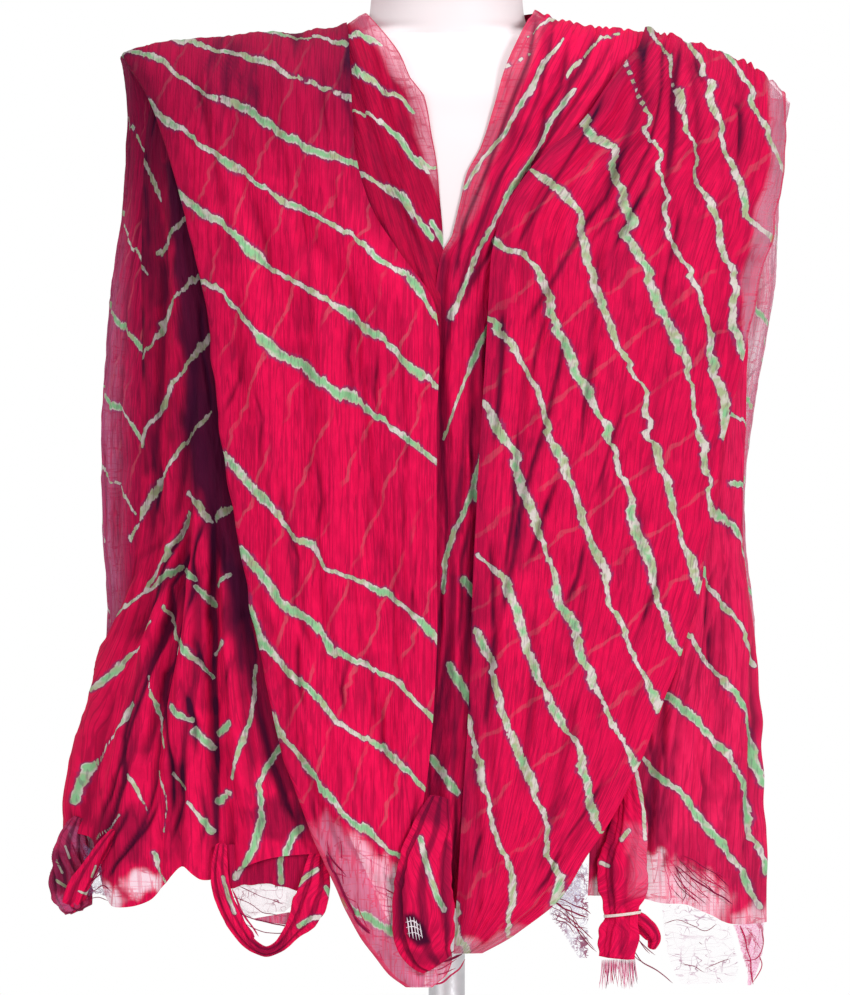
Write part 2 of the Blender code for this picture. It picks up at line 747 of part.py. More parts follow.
def build_form():
    pale = (0.93, 0.88, 0.87)
    add_rings("dress_form", [form_ring(row, FORM_SIDES) for row in FORM], pale, 0.45)
    cap_low = NECK_TOP + SMALL_GAP
    cap = [
        round_ring(NECK_RADIUS - 16 * MM, cap_low + 9 * MM),
        round_ring(NECK_RADIUS - 7 * MM, cap_low + 6.5 * MM),
        round_ring(NECK_RADIUS - 3 * MM, cap_low + 2 * MM),
        round_ring(NECK_RADIUS - 4 * MM, cap_low),
    ]
    add_rings("neck_cap", cap, pale, 0.4)
    pole = [
        round_ring(POLE_RADIUS, TORSO_BOTTOM - SMALL_GAP, POLE_SIDES),
        round_ring(POLE_RADIUS, BASE_HEIGHT + SMALL_GAP, POLE_SIDES),
    ]
    add_rings("stand_pole", pole, (0.8, 0.8, 0.8), 0.25, 1.0)
    base = [
        round_ring(BASE_RADIUS - 12 * MM, BASE_HEIGHT),
        round_ring(BASE_RADIUS - 3 * MM, BASE_HEIGHT - 4 * MM),
        round_ring(BASE_RADIUS, BASE_HEIGHT - 9 * MM),
        round_ring(BASE_RADIUS, 0),
    ]
    add_rings("stand_base", base, (0.85, 0.85, 0.85), 0.3, 0.6)


def build_bunch(name, table, steps, color, count=BUNCH_SIDES):
    rings = bunch_rings(table, count, steps)
    return add_rings(name, rings, color)


def build_tail(crimson):
    build_bunch("tail_right", TAIL_RIGHT, 16, crimson)
    build_tie()
    build_fringe(crimson)


def build_tie():
    """A plain band round the tail's narrowest place, clear of its pleats."""
    x, _, lift, half_width, half_depth = TAIL_RIGHT[6]
    reach = 1 + PLEAT_DEPTH
    shape = bmesh.new()
    loops = []
    for outer, z in ((0, 0), (1, 0), (1, 1), (0, 1)):
        centre = place_front(x * MM, TIE_HEIGHTS[z] * MM, lift * MM, 0.0, 0)
        grow = 2 * SMALL_GAP + TIE_WALL * outer
        loop = []
        for step in range(TIE_SIDES):
            turn = 2 * math.pi * step / TIE_SIDES
            loop.append(shape.verts.new((
                centre.x + (half_width * reach * MM + grow) * math.cos(turn),
                centre.y + (half_depth * reach * MM + grow) * math.sin(turn),
                centre.z,
            )))
        loops.append(loop)
    for index, loop in enumerate(loops):
        other = loops[(index + 1) % len(loops)]
        for step in range(TIE_SIDES):
            following = (step + 1) % TIE_SIDES
            shape.faces.new((loop[step], loop[following], other[following], other[step]))
    bmesh.ops.recalc_face_normals(shape, faces=shape.faces)
    mesh = bpy.data.meshes.new("tail_tie_right")
    shape.to_mesh(mesh)
    shape.free()
    add_object("tail_tie_right", mesh, (0.9, 0.88, 0.84))


def build_fringe(color):
    """Loose threads cut from one strip: a comb outline pushed through its depth."""
    centre = place_front(TAIL_RIGHT[-1][0] * MM, FRINGE_TOP, TAIL_RIGHT[-1][2] * MM, 0.0, 0)
    pitch = 2 * FRINGE_HALF_WIDTH / FRINGE_STRANDS
    outline = [(FRINGE_HALF_WIDTH, 0), (-FRINGE_HALF_WIDTH, 0)]
    for strand in range(FRINGE_STRANDS):
        left = -FRINGE_HALF_WIDTH + strand * pitch
        sway = 0.2 * pitch * math.sin(2.3 * strand)
        length = FRINGE_LENGTH * (0.72 + 0.28 * math.sin(1.7 * strand + 1))
        tip = left + 0.35 * pitch + sway
        outline.append((left, -FRINGE_STRIP))
        outline.append((tip - 0.12 * pitch, -length))
        outline.append((tip + 0.12 * pitch, -length))
        outline.append((left + 0.7 * pitch, -FRINGE_STRIP))
    outline.append((FRINGE_HALF_WIDTH, -FRINGE_STRIP))
    shape = bmesh.new()
    face = shape.faces.new([
        shape.verts.new((centre.x + x, centre.y - FRINGE_DEPTH / 2, centre.z + z))
        for x, z in outline
    ])
    pushed = bmesh.ops.extrude_face_region(shape, geom=[face])
    moved = [item for item in pushed["geom"] if isinstance(item, bmesh.types.BMVert)]
    bmesh.ops.translate(shape, vec=(0, FRINGE_DEPTH, 0), verts=moved)
    bmesh.ops.recalc_face_normals(shape, faces=shape.faces)
    mesh = bpy.data.meshes.new("tail_fringe_right")
    shape.to_mesh(mesh)
    shape.free()
    add_object("tail_fringe_right", mesh, color)


def build_nets():
    pale = (0.8, 0.45, 0.55)
    grid = front_grid(1, CORNER_NET_RIGHT, 4, 0, 6, ())
    add_sheet("corner_net_right", grid, pale, SHEER_WALL)
    grid = front_grid(1, HEM_NET_RIGHT, 8, 0, 5, (), brim=HEM_SIDE_RIGHT)
    add_sheet("hem_net_right", grid, pale, SHEER_WALL)
    grid = front_grid(1, FRONT_NET_RIGHT, 4, 0, 5, ())
    add_sheet("front_net_right", grid, pale, SHEER_WALL)


def build_cloth():
    crimson = (0.58, 0.007, 0.06)
    shade = (0.35, 0.005, 0.045)
    pink = (0.75, 0.2, 0.36)
    grid = front_grid(-1, FRONT_PANEL_LEFT, 14, 5, 20, FOLDS_PANEL_LEFT, rolled=True)
    add_sheet("front_panel_left", grid, crimson, flip=True)
    grid = front_grid(1, FRONT_PANEL_RIGHT, 14, 5, 20, FOLDS_PANEL_RIGHT, rolled=True)
    add_sheet("front_panel_right", grid, crimson)
    grid = front_grid(-1, NECK_FOLD_LEFT, 6, 4, 9, FOLDS_NECK_LEFT)
    add_sheet("neck_fold_left", grid, shade, flip=True)
    grid = front_grid(1, CENTRE_FALL, 12, 5, 18, FOLDS_CENTRE)
    add_sheet("centre_fall", grid, shade)
    grid = front_grid(-1, SIDE_FALL_LEFT, 14, 0, 18, FOLDS_SIDE_LEFT, hem=HEM_SIDE_LEFT)
    add_sheet("side_fall_left", grid, crimson, flip=True)
    grid = front_grid(1, SIDE_FALL_RIGHT, 10, 0, 15, FOLDS_SIDE_RIGHT, hem=HEM_SIDE_RIGHT)
    add_sheet("side_fall_right", grid, crimson)
    grid = wrap_grid(-1, SIDE_WRAP_LEFT, 10, 4, 11, FOLDS_WRAP)
    add_sheet("side_wrap_left", grid, pink, flip=True)
    grid = wrap_grid(1, SIDE_WRAP_RIGHT, 10, 4, 11, FOLDS_WRAP)
    add_sheet("side_wrap_right", grid, pink)
    add_sheet("back_fall", back_grid(22, 5, 12), crimson, flip=True)
    build_bunch("hem_loop_left", HEM_LOOP_LEFT, 22, crimson, LOOP_SIDES)
    build_bunch("corner_bundle_left", CORNER_BUNDLE_LEFT, 7, shade)
    build_bunch("hem_curl_front", HEM_CURL_FRONT, 9, crimson)
    build_tail(crimson)
    build_nets()


def main():
    clear_scene()
    build_form()
    build_cloth()


main()
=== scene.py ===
"""A leheriya dupatta stole on a limbless dress form: the looks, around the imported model.

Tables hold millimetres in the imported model's frame: +Z up, the front faces -Y.
Every stretch of cloth lies on the same drape surface as its solid, in finer rows,
with creases, crinkles, tie-dyed lines and sheer places of its own.
"""
import math

import bpy
import numpy as np
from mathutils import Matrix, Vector


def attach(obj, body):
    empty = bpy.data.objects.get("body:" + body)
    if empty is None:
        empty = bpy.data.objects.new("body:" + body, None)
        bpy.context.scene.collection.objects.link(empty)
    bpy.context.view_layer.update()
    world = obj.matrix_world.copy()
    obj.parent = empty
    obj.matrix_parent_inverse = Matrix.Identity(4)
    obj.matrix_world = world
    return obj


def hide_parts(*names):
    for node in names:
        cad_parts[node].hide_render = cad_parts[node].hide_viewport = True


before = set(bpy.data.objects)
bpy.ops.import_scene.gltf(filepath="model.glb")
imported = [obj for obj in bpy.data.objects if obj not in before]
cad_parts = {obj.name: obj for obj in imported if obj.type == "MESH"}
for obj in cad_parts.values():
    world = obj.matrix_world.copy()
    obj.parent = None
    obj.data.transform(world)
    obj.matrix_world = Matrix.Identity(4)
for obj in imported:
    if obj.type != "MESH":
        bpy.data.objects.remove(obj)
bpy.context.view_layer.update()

MM = 0.001
# Stands for a place that no line or edge is near, and keeps a division off nothing
FAR = 50.0
TINY = 1e-6

# The drape and its stretches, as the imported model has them
SHOULDER_ROUND = 60
CORNER_SEAM = 2.4
FORM_GAP = 1.4
NECK_RADIUS = 54
NECK_CLEARANCE = 4.5
HEM_GAP = 0.9
RIDGE_SHARE = 1 / 3
FOLD_FADE = 5
SIDE_SPAN = 170
BACK_EDGE_ANGLE = 128
BACK_SEAM_ANGLE = 0.25
BACK_BOTTOM = 150
BACK_WIDTH = 360
BACK_MEASURE_HEIGHT = 600
BACK_HEM_WAVES = ((9, 6), (23, 5))

# Edges that turn back under a panel: the roll's radius, the part tucked behind it and the steps of both
ROLL_RADIUS = 3.0
TUCK_WIDTH = 22
TUCK_SHARE = 0.6
ROLL_STEPS, TUCK_STEPS = 8, 10
# Where a side's back edge starts to go on under the back, how far in degrees, and how deep it lies there
TUCK_START = 0.975
TUCK_ANGLE = 1.1
TUCK_LIFT = -1.8
# How far the front stretches go on over the shoulder ridge
RIDGE_OVERLAP = (6.0, 4.0, 2.0)
# Depth below a side stretch's top, and how many degrees further forward it reaches than its solid
SIDE_CLOSING = ((0, 24), (10, 16), (24, 10), (50, 4), (90, 0), (600, 0))
# Between these angles a side stretch stops being sheer, below these heights an outer edge trails
WRAP_BACK_ANGLES = (math.radians(104), math.radians(126))
TRAIL_HEIGHTS = (330, 280)
SIDE_SHADE_WIDTH = 16
THREAD_STEP = 1.6
# Seeded noise repeats after this many steps
LATTICE = 128
# Rises of creases and furrows whose painted shade is as dark as it gets
DARKEST_CREASE = 5
DARKEST_FURROW = 1.8


def places(text):
    """The places that a text lists, each as two numbers with a comma between them."""
    return np.array([[float(value) for value in place.split(",")] for place in text.split()])


def courses(text):
    """Rows of text: a row's values stand before a colon and its places after it, and may run on."""
    made = []
    for row in text.strip().split("\n"):
        values, colon, rest = row.rpartition(":")
        if colon:
            made.append([*(word if word.isalpha() else float(word) for word in values.split()), rest])
        else:
            made[-1][-1] += " " + rest
    return tuple((*row[:-1], places(row[-1])) for row in made)


# The drape's outline at each height: half its size towards each side
OVAL_COLUMNS = ("z", "left", "right", "front", "back")
OVAL = (
    (720, 228, 242, 84, 80), (689, 226, 240, 86, 84), (661, 223, 238, 90, 93), (630, 222, 234, 98, 102),
    (600, 223, 232, 106, 109), (560, 227, 230, 113, 114), (520, 233, 226, 117, 117),
    (478, 236, 218, 118, 118), (439, 238, 211, 118, 118), (400, 238, 206, 118, 119),
    (350, 238, 206, 117, 120), (298, 237, 212, 116, 121), (253, 245, 216, 115, 122),
    (210, 257, 219, 114, 122), (175, 263, 221, 112, 122), (107, 268, 222, 111, 122),
    (40, 268, 220, 110, 122),
)
# The shoulder line: place across and height
RIDGE = (
    (-232, 681), (-222, 689), (-200, 694), (-178, 697), (-150, 700.5), (-126, 702), (-100, 703),
    (-78, 705.5), (-66, 711), (-56, 715.5), (0, 716), (60, 716.5), (68, 715), (78, 710), (97, 706.5),
    (120, 705), (140, 703.5), (160, 697), (190, 688.5), (205, 681), (216, 674), (235, 657), (245, 646),
)
# The form's rings: height, half width, front, back and squareness. A front of 0 lies just under the drape
FORM = (
    (742, 52, 54, 54, 2), (722, 52.5, 54.5, 54, 2), (709, 55, 56.2, 56, 2), (702.4, 60, 57.4, 57, 1.9),
    (699, 96, 58.4, 57, 1.5), (697.8, 121, 59, 57, 1.5), (695.4, 146, 60.2, 58, 1.5),
    (691, 162, 62.8, 61, 1.55), (683, 181, 69, 67, 1.7), (673, 192, 77, 75, 1.9), (660, 198, 86.5, 82, 2),
    (640, 199, 93, 88, 2), (615, 196, 0, 95, 2), (580, 190, 0, 104, 2), (545, 181, 0, 107, 2),
    (510, 173, 0, 106, 2), (470, 160, 104, 101, 2), (420, 144, 92, 92, 2), (370, 134, 84, 86, 2),
    (320, 139, 88, 92, 2), (260, 153, 98, 103, 2.1), (205, 160, 101, 107, 2.1), (180, 156, 97, 103, 2.1),
    (170, 144, 88, 93, 2.1),
)
# Stretches in front: height, inner and outer edge, and how far off the drape they lie at each edge
FRONT_PANEL_LEFT = (
    (706, -69, -222, 0, 0), (690, -67, -217, 3, 1.5), (662, -65, -202, 5.5, 3.6), (631, -63, -192, 6, 6),
    (608, -61, -186, 6, 7), (574, -51, -178, 6, 8), (546, -33, -170, 6, 9), (509, -8, -163, 6, 10),
    (427, -7, -154, 6.5, 11), (353, -7, -141, 6.5, 12), (278, -7, -126, 7, 12), (203, -12, -105, 8, 12),
    (150, -20, -86, 8, 12), (120, -23, -73, 8, 11), (96, -8, -61, 6.5, 9.5), (74, 3, -48, 5, 8),
    (60, 0, -37, 5, 7), (51, -10, -24, 5, 6),
)
FRONT_PANEL_RIGHT = (
    (703, 137, 231.5, 0, 0), (682, 128, 232, 6, 1.5), (655, 105, 230, 12, 4), (631, 87, 227, 14, 6),
    (611, 67, 223, 15, 7), (591, 50, 219, 15.5, 8), (569, 36, 216, 15.5, 9), (543, 29, 208, 15.5, 10),
    (516, 27, 202, 15.5, 11), (482, 25, 194, 15.5, 12), (434, 22, 183, 15.5, 12), (380, 19, 173, 15.5, 12),
    (312, 16, 162, 15, 12), (244, 14, 141, 14, 12), (176, 10, 113, 13, 12), (140, 8, 90, 12, 11),
    (108, 6, 70, 11, 10), (86, 5, 42, 10, 9), (74, 4, 20, 10, 9),
)
NECK_FOLD_LEFT = (
    (714, -56, -72, 0.4, -2.4), (706, -50, -76, 0.4, -2), (696, -42, -79, 0.4, -0.5),
    (682, -32, -79, 0.4, 0.2), (664, -24, -78, 0.4, 0.5), (655, -16, -78, 0.4, 0.6),
    (625, -10, -76, 0.4, 0.6), (608, -7, -75, 0.4, 0.5), (584, -5, -68, 0.5, 0.5), (560, -3, -55, 0.5, 0.5),
    (540, -3, -44, 0.6, 0.5), (509, -4, -30, 0.8, 0.5), (470, -4.5, -24, 0.8, 0.5),
)
CENTRE_FALL = (
    (715, 61, 150, 0.4, -2.5), (696, 50, 148, 0.4, -1.5), (672, 39, 140, 0.4, 0), (645, 31, 118, 0.5, 1),
    (618, 22, 96, 0.5, 2), (601, 13, 80, 0.6, 2), (584, 9, 70, 0.6, 2), (557, 3, 58, 0.8, 2),
    (540, -1, 52, 1, 2), (509, -4, 49, 1.5, 2), (427, -4, 48, 2, 2), (312, -4, 46, 2, 2),
    (244, -4, 44, 2, 2), (176, -13, 38, 1.6, 2), (140, -20, 32, 1.2, 2), (104, -23, 24, 1, 1),
)
SIDE_FALL_LEFT = (
    (660, -178, -207, -4.4, -6.4), (631, -168, -209, -1.6, -3), (604, -162, -210, -1, -2),
    (560, -154, -210, 1, -1), (482, -140, -209, 3.5, 0), (430, -132, -209, 4.2, 0),
    (393, -128, -209, 4.7, 0), (353, -120, -211, 5.2, 1), (312, -112, -222, 5.2, 1),
    (278, -105, -236, 5.2, 0), (237, -96, -249, 5.2, 0), (195, -86, -260, 5.2, 0), (152, -76, -264, 5.2, 0),
    (110, -72, -266, 4.4, 0),
)
SIDE_FALL_RIGHT = (
    (560, 192, 221, 1.5, -4), (528, 184, 214, 3.2, -3), (487, 174, 207, 4.8, -2), (439, 163, 203, 5.2, 0),
    (400, 155, 203, 5.2, 0), (353, 147, 203, 5.2, 0), (298, 138, 209, 4.4, 0), (257, 126, 213, 0.5, 0),
    (217, 112, 216, -3.4, 0), (165, 100, 218, -3.6, 0), (90, 96, 218, -3, 0),
)
# Stretches round the sides, in the same way, with their edges in degrees round from the front
SIDE_WRAP_LEFT = (
    (690, 104, 128, -3, 0), (683, 91, 128, -8.5, 0), (671, 79, 128, -12, 0), (645, 70, 128, -13, 0),
    (610, 63, 128, -11, 0), (560, 61, 128, -9, 0), (482, 57, 128, -6.5, 0), (393, 55, 128, -6.5, 0),
    (300, 58, 128, -8, -3), (200, 58, 128, -12, -6), (128, 58, 128, -14, -6),
)
SIDE_WRAP_RIGHT = (
    (668, 97, 128, 0, 0), (656, 92, 128, -3, 0), (640, 84, 128, -10, 0), (620, 77, 128, -13, 0),
    (595, 70, 128, -12, 0), (528, 58, 128, -13, 0), (439, 55, 128, -9, 0), (353, 55, 128, -8.5, 0),
    (250, 55, 128, -8.5, -2), (150, 56, 128, -9, -4),
)
# Uneven hems: place across and height
HEM_SIDE_LEFT = (
    (-272, 150), (-245, 147), (-238, 124), (-232, 107), (-222, 102), (-205, 106), (-192, 118), (-178, 131),
    (-165, 122), (-148, 126), (-120, 137), (-84, 141), (-60, 142),
)
HEM_SIDE_RIGHT = (
    (90, 112), (130, 110), (145, 106), (165, 104), (180, 97), (195, 90), (222, 89),
)
# Gauze pieces below the right hem, as the stretches in front
CORNER_NET_RIGHT = (
    (89.2, 196, 218.5, -0.4, 0), (76, 200, 218.5, -0.4, 0), (66, 203, 217, -0.4, 0),
    (56, 206, 213.5, -0.4, 0), (47, 206, 209, -0.4, 0),
)
HEM_NET_RIGHT = (
    (90, 146, 194.5, -1.8, -0.4), (72, 149, 198, -1.8, -0.4), (60, 153, 200, -1.8, -0.4),
    (50, 160, 197, -1.8, -0.4),
)
FRONT_NET_RIGHT = (
    (134, 90, 95, 4, 4), (104, 68, 95, 4, 4), (86, 78, 95, 4, 4), (70, 88, 95, 4, 4),
)
# Broad folds: place across at the top and the bottom, start and end down the stretch, half width, height
FOLDS_PANEL_LEFT = (
    (0.04, 0.06, 0.1, 0.34, 9, -1.6), (0.13, 0.16, 0.05, 0.95, 11, 3), (0.3, 0.1, 0.02, 0.6, 13, 3.2),
    (0.42, 0.34, 0.05, 0.85, 9, -2.6), (0.52, 0.5, 0.1, 1, 14, 3.4), (0.66, 0.66, 0.04, 0.7, 10, -2.4),
    (0.78, 0.8, 0.08, 0.92, 13, 3), (0.9, 0.92, 0.3, 0.98, 8, -2.2), (0.2, 0.3, 0.55, 1, 8, -2.4),
    (0.08, 0.24, 0.68, 1, 8, 3), (0.4, 0.62, 0.72, 1, 8, 2.6),
)
FOLDS_PANEL_RIGHT = (
    (0.06, 0.1, 0, 0.45, 7, 3.4), (0.16, 0.2, 0, 0.5, 6, -2.8), (0.26, 0.24, 0, 0.4, 7, 3.4),
    (0.38, 0.34, 0, 0.48, 7, -2.6), (0.5, 0.46, 0.02, 0.7, 12, 3.4), (0.64, 0.6, 0.08, 0.8, 9, -2.4),
    (0.76, 0.74, 0.05, 0.95, 13, 3), (0.89, 0.88, 0.1, 0.8, 8, -2.2), (0.14, 0.18, 0.45, 1, 10, 3),
    (0.34, 0.38, 0.5, 1, 9, -2.4), (0.58, 0.7, 0.55, 1, 12, 2.8),
)
FOLDS_NECK_LEFT = (
    (0.3, 0.35, 0.05, 0.95, 5, 1.5), (0.62, 0.7, 0.1, 0.9, 5, 1.4),
)
FOLDS_CENTRE = (
    (0.12, 0.38, 0.15, 1, 5, 5), (0.3, 0.52, 0.1, 1, 5, 6), (0.48, 0.68, 0.05, 0.98, 5, 6.6),
    (0.66, 0.84, 0.02, 0.92, 5, 6),
)
FOLDS_SIDE_LEFT = (
    (0.25, 0.22, 0.02, 0.6, 7, -3), (0.5, 0.45, 0.05, 0.62, 8, 3.5), (0.8, 0.78, 0.05, 0.55, 6, -3),
    (0.3, 0.3, 0.52, 1, 7, 5), (0.42, 0.4, 0.5, 1, 6, -4.5), (0.5, 0.52, 0.48, 1, 6, 5),
    (0.6, 0.66, 0.5, 1, 7, -4.5), (0.66, 0.78, 0.5, 1, 7, 5), (0.72, 0.9, 0.52, 1, 7, -4),
)
FOLDS_SIDE_RIGHT = (
    (0.3, 0.26, 0.1, 0.9, 7, -3), (0.46, 0.42, 0.2, 1, 8, 4), (0.62, 0.6, 0.15, 1, 7, -3.5),
    (0.78, 0.8, 0.2, 0.95, 9, 4),
)
FOLDS_WRAP = (
    (0.3, 0.26, 0.15, 1, 8, -3), (0.62, 0.6, 0.08, 1, 10, 4), (0.8, 0.82, 0.1, 1, 9, -3.5),
)
FOLDS_BACK = (
    (0.08, 0.1, 0.12, 1, 12, 4), (0.2, 0.17, 0.1, 1, 11, -4), (0.31, 0.3, 0.15, 1, 13, 5),
    (0.42, 0.38, 0.06, 0.92, 10, -4), (0.5, 0.49, 0.04, 1, 12, 4.5), (0.6, 0.62, 0.08, 1, 10, -4),
    (0.7, 0.72, 0.12, 0.96, 13, 5), (0.82, 0.8, 0.1, 1, 10, -4), (0.92, 0.91, 0.15, 1, 12, 3.5),
)
# Tied lines, as the photo shows them: half width, how green, and the places that they run through
DASHES_LEFT = courses("""
    1.3 -0.5: -238,150 -234,153
    1.3 -0.5: -232,154 -229,157
    1.4 -0.5: -227,161 -221,165
    1.2 -0.5: -245,112 -241,110
    1.2 -0.5: -236,113 -232,112
""")
LINES_PANEL_LEFT = courses("""
    3.2 0.5: -122,702 -107,697 -91,694 -74,690
    3.8 0.5: -184,697 -179,695 -158,688 -140,684 -134,679 -118,675 -107,666 -97,665 -84,659 -67,652
    3.2 0.5: -224,691 -220,690 -192,679 -179,665 -160,655 -136,646 -109,628 -89,618 -63,607
    3.7 0.6: -207,655 -203,652 -183,636 -156,616 -132,599 -109,583 -97,577 -78,567 -56,554 -48,544 -27,531
        -17,519 -5,499
    3.7 0.6: -188,596 -185,593 -167,579 -142,562 -122,540 -111,534 -91,521 -70,509 -60,500 -41,487 -23,469
        -2,453
    4 0.75: -175,539 -169,534 -148,519 -129,499 -113,480 -95,471 -86,461 -64,449 -44,434 -23,419 -2,400
    3.3 0.4: -160,422 -154,417 -131,391 -111,370 -101,354 -89,348 -80,334 -62,327 -37,315 -17,299 -2,281
    3.4 0.6: -145,359 -140,352 -124,332 -109,311 -93,299 -82,289 -75,278 -52,267 -33,259 -23,247 -5,229
    3.7 0.65: -134,319 -132,312 -122,283 -99,259 -84,244 -70,228 -42,213 -29,199 -12,183
    3.7 0.75: -124,253 -120,245 -107,218 -89,195 -80,183 -68,168 -52,157 -39,144 -21,134
    3.7 0.85: -73,113 -68,109 -60,103 -46,94 -32,86
""")
LINES_PANEL_RIGHT = courses("""
    3.4 0.7: 194,686 204,667 210,644 220,622 226,608 233,597
    3.2 0.3: 165,695 173,679 177,659 181,638 185,618 194,599 201,574 218,557
    3.2 0.3: 138,705 140,691 152,681 152,659 159,655 157,634 166,621 167,595 177,574 181,552 190,532 188,503
        192,482
    3.4 0.35: 112,686 128,657 134,642 132,630 141,618 140,603 146,585 145,572 154,542 163,523 174,493
        173,477 181,448 181,422 192,397
    3.7 0.6: 81,653 85,648 97,626 112,618 109,607 116,585 122,567 118,560 128,540 138,516 148,493 156,467
        163,434 169,406 171,379 173,359
    3.4 0.4: 51,604 56,601 75,587 87,574 90,556 93,534 101,512 112,480 130,453 130,426 138,399 146,375
        154,350 165,319
    3.9 0.8: 33,553 38,550 52,544 62,527 67,513 69,500 80,479 85,463 95,442 105,420 112,399 118,381 122,359
        130,336 138,311 146,285 154,270
    3.6 0.55: 25,504 31,498 46,477 58,451 66,426 75,403 83,379 93,350 103,328 107,305 116,285 128,263
        139,242
    3.6 0.55: 25,442 29,436 44,410 48,391 54,373 64,346 73,312 81,296 89,273 97,251 112,222 129,192
    3.4 0.5: 25,339 38,325 44,310 52,278 67,245 83,218 87,197 97,168 103,142
    3.6 0.55: 21,285 29,267 40,226 56,187 67,159 66,140 73,126 70,104
    3.6 0.55: 13,234 17,220 24,187 33,155 42,130 44,108 40,87
    3.2 0.3: 3,111 5,103 9,83 14,67
""")
LINES_NECK_LEFT = courses("""
    2.8 0.5: -80,701 -69,698 -59,697 -47,690
    2.6 0.4: -62,672 -57,667 -42,657 -32,653 -25,645
    2.4 0.5: -69,641 -65,643 -59,644 -42,633 -32,625 -24,612 -15,603
    2.6 0.8: -16,608 -12,604 -5,606
    3 0.5: -62,601 -55,599 -42,592 -31,585 -25,576 -21,570 -12,559
    2.6 0.4: -9,565 -4,558 1,547
""")
LINES_CENTRE = courses("""
    1.8 0.2: 56,697 64,705 77,714
    2.4 0.6: 82,669 85,674 93,682 105,695 116,698
    2.4 0.2: 38,671 44,676 55,683
    3 0.5: 77,691 66,679 58,661 50,648 38,626 22,607 13,592
    3.2 0.55: 84,655 69,636 64,622 54,605 42,589 29,563 21,548 13,529 3,504
    2.4 0.4: 32,504 27,496 19,478 11,457 5,441 -2,423
    2.2 0.4: 22,407 17,390 14,379 5,359 -2,336 -3,319
    3.6 0.9: 18,384 20,381 28,372 40,354
    3.6 0.9: 12,325 14,323 21,313 29,302
    3.4 0.8: 2,268 3,265 15,246
    3.4 0.6: -10,204 -4,196 5,184
    2.6 0.8: -20,150 -17,142 -12,128 -7,116 -1,106
    3.6 0.9: 33,553 43,546
""")
LINES_SIDE_RIGHT = courses("""
    2.6 0.8: 184,490 192,485 202,480
    2.6 0.5: 182,448 191,440 203,431
    2.8 0.7: 191,391 199,389 207,388
    3.2 0.55: 172,382 175,379 188,366 199,348 206,338
    3.2 0.5: 165,339 169,334 186,313 197,291 210,266
    3.4 0.6: 152,300 157,294 173,276 188,259 201,236 208,210 217,185
    3.6 0.65: 150,247 157,240 171,228 192,204 204,181 208,155 218,124
    3.4 0.5: 135,204 141,197 157,183 171,166 188,146 202,126 215,100
""")
LINES_SIDE_LEFT = courses("""
    2.6 0.6: -225,644 -220,634 -210,614 -203,600 -197,585
    2.2 0.2: -236,577 -224,560 -215,547 -206,534
    2.2 0.4: -198,548 -190,557 -181,567 -171,578
    2.4 0.3: -197,499 -183,516 -169,531 -158,542
    3 0.6: -236,513 -233,508 -222,495 -211,482
    3 0.7: -237,452 -233,446 -228,440
    2 0.2: -228,445 -218,431 -209,417
    2.2 0.2: -240,406 -237,401 -225,385 -216,370
    2.4 0.3: -210,474 -208,477 -194,500 -183,516
    3 0.3: -209,418 -206,428 -191,449 -179,465 -161,490
    3 0.3: -221,353 -218,358 -205,375 -194,395 -179,417 -160,437
    2 0.1: -207,319 -203,325 -189,342 -182,355 -173,369
    2.2 0.1: -228,297 -224,301 -210,315 -195,324 -182,335
    1.8 0.1: -214,275 -212,278 -198,295
    2.2 0.3: -173,383 -165,377 -160,366
    3.4 0.9: -154,369 -145,373
    3.2 0.8: -178,331 -169,326
    3.2 0.8: -168,321 -159,308
    3.4 0.9: -156,322 -145,329
    2.4 0.3: -244,249 -241,251 -220,271 -209,281 -197,297
    2.4 0.4: -254,170 -253,175 -248,195 -234,214 -220,228 -213,241
    1.4 0: -190,309 -187,295 -182,274
    1.4 0: -203,260 -199,241 -197,227 -192,211
    1.5 0: -215,192 -210,180 -205,166
    1.5 0: -197,196 -192,179 -192,154
    1.5 0: -239,149 -232,155 -222,165
    2.2 0.4: -200,140 -197,131 -192,120
    3.2 0.8: -180,283 -173,276
    3.2 0.8: -171,273 -160,258
    3.2 0.9: -158,274 -150,284
    3.2 0.7: -186,238 -173,230
    3.2 0.8: -171,223 -160,211
    3.2 0.9: -155,221 -146,229
    2.6 0.5: -186,193 -175,183
    2.6 0.4: -174,174 -159,154
    3 0.8: -157,174 -148,182
    2.2 0.2: -129,268 -131,238 -136,218 -144,193
    3.4 0.9: -111,214 -122,197 -126,187
    3 0.8: -126,187 -125,159 -129,146 -141,124
    3 0.9: -98,159 -105,150 -109,142 -111,119
    2.8 0.8: -95,121 -83,135
""")
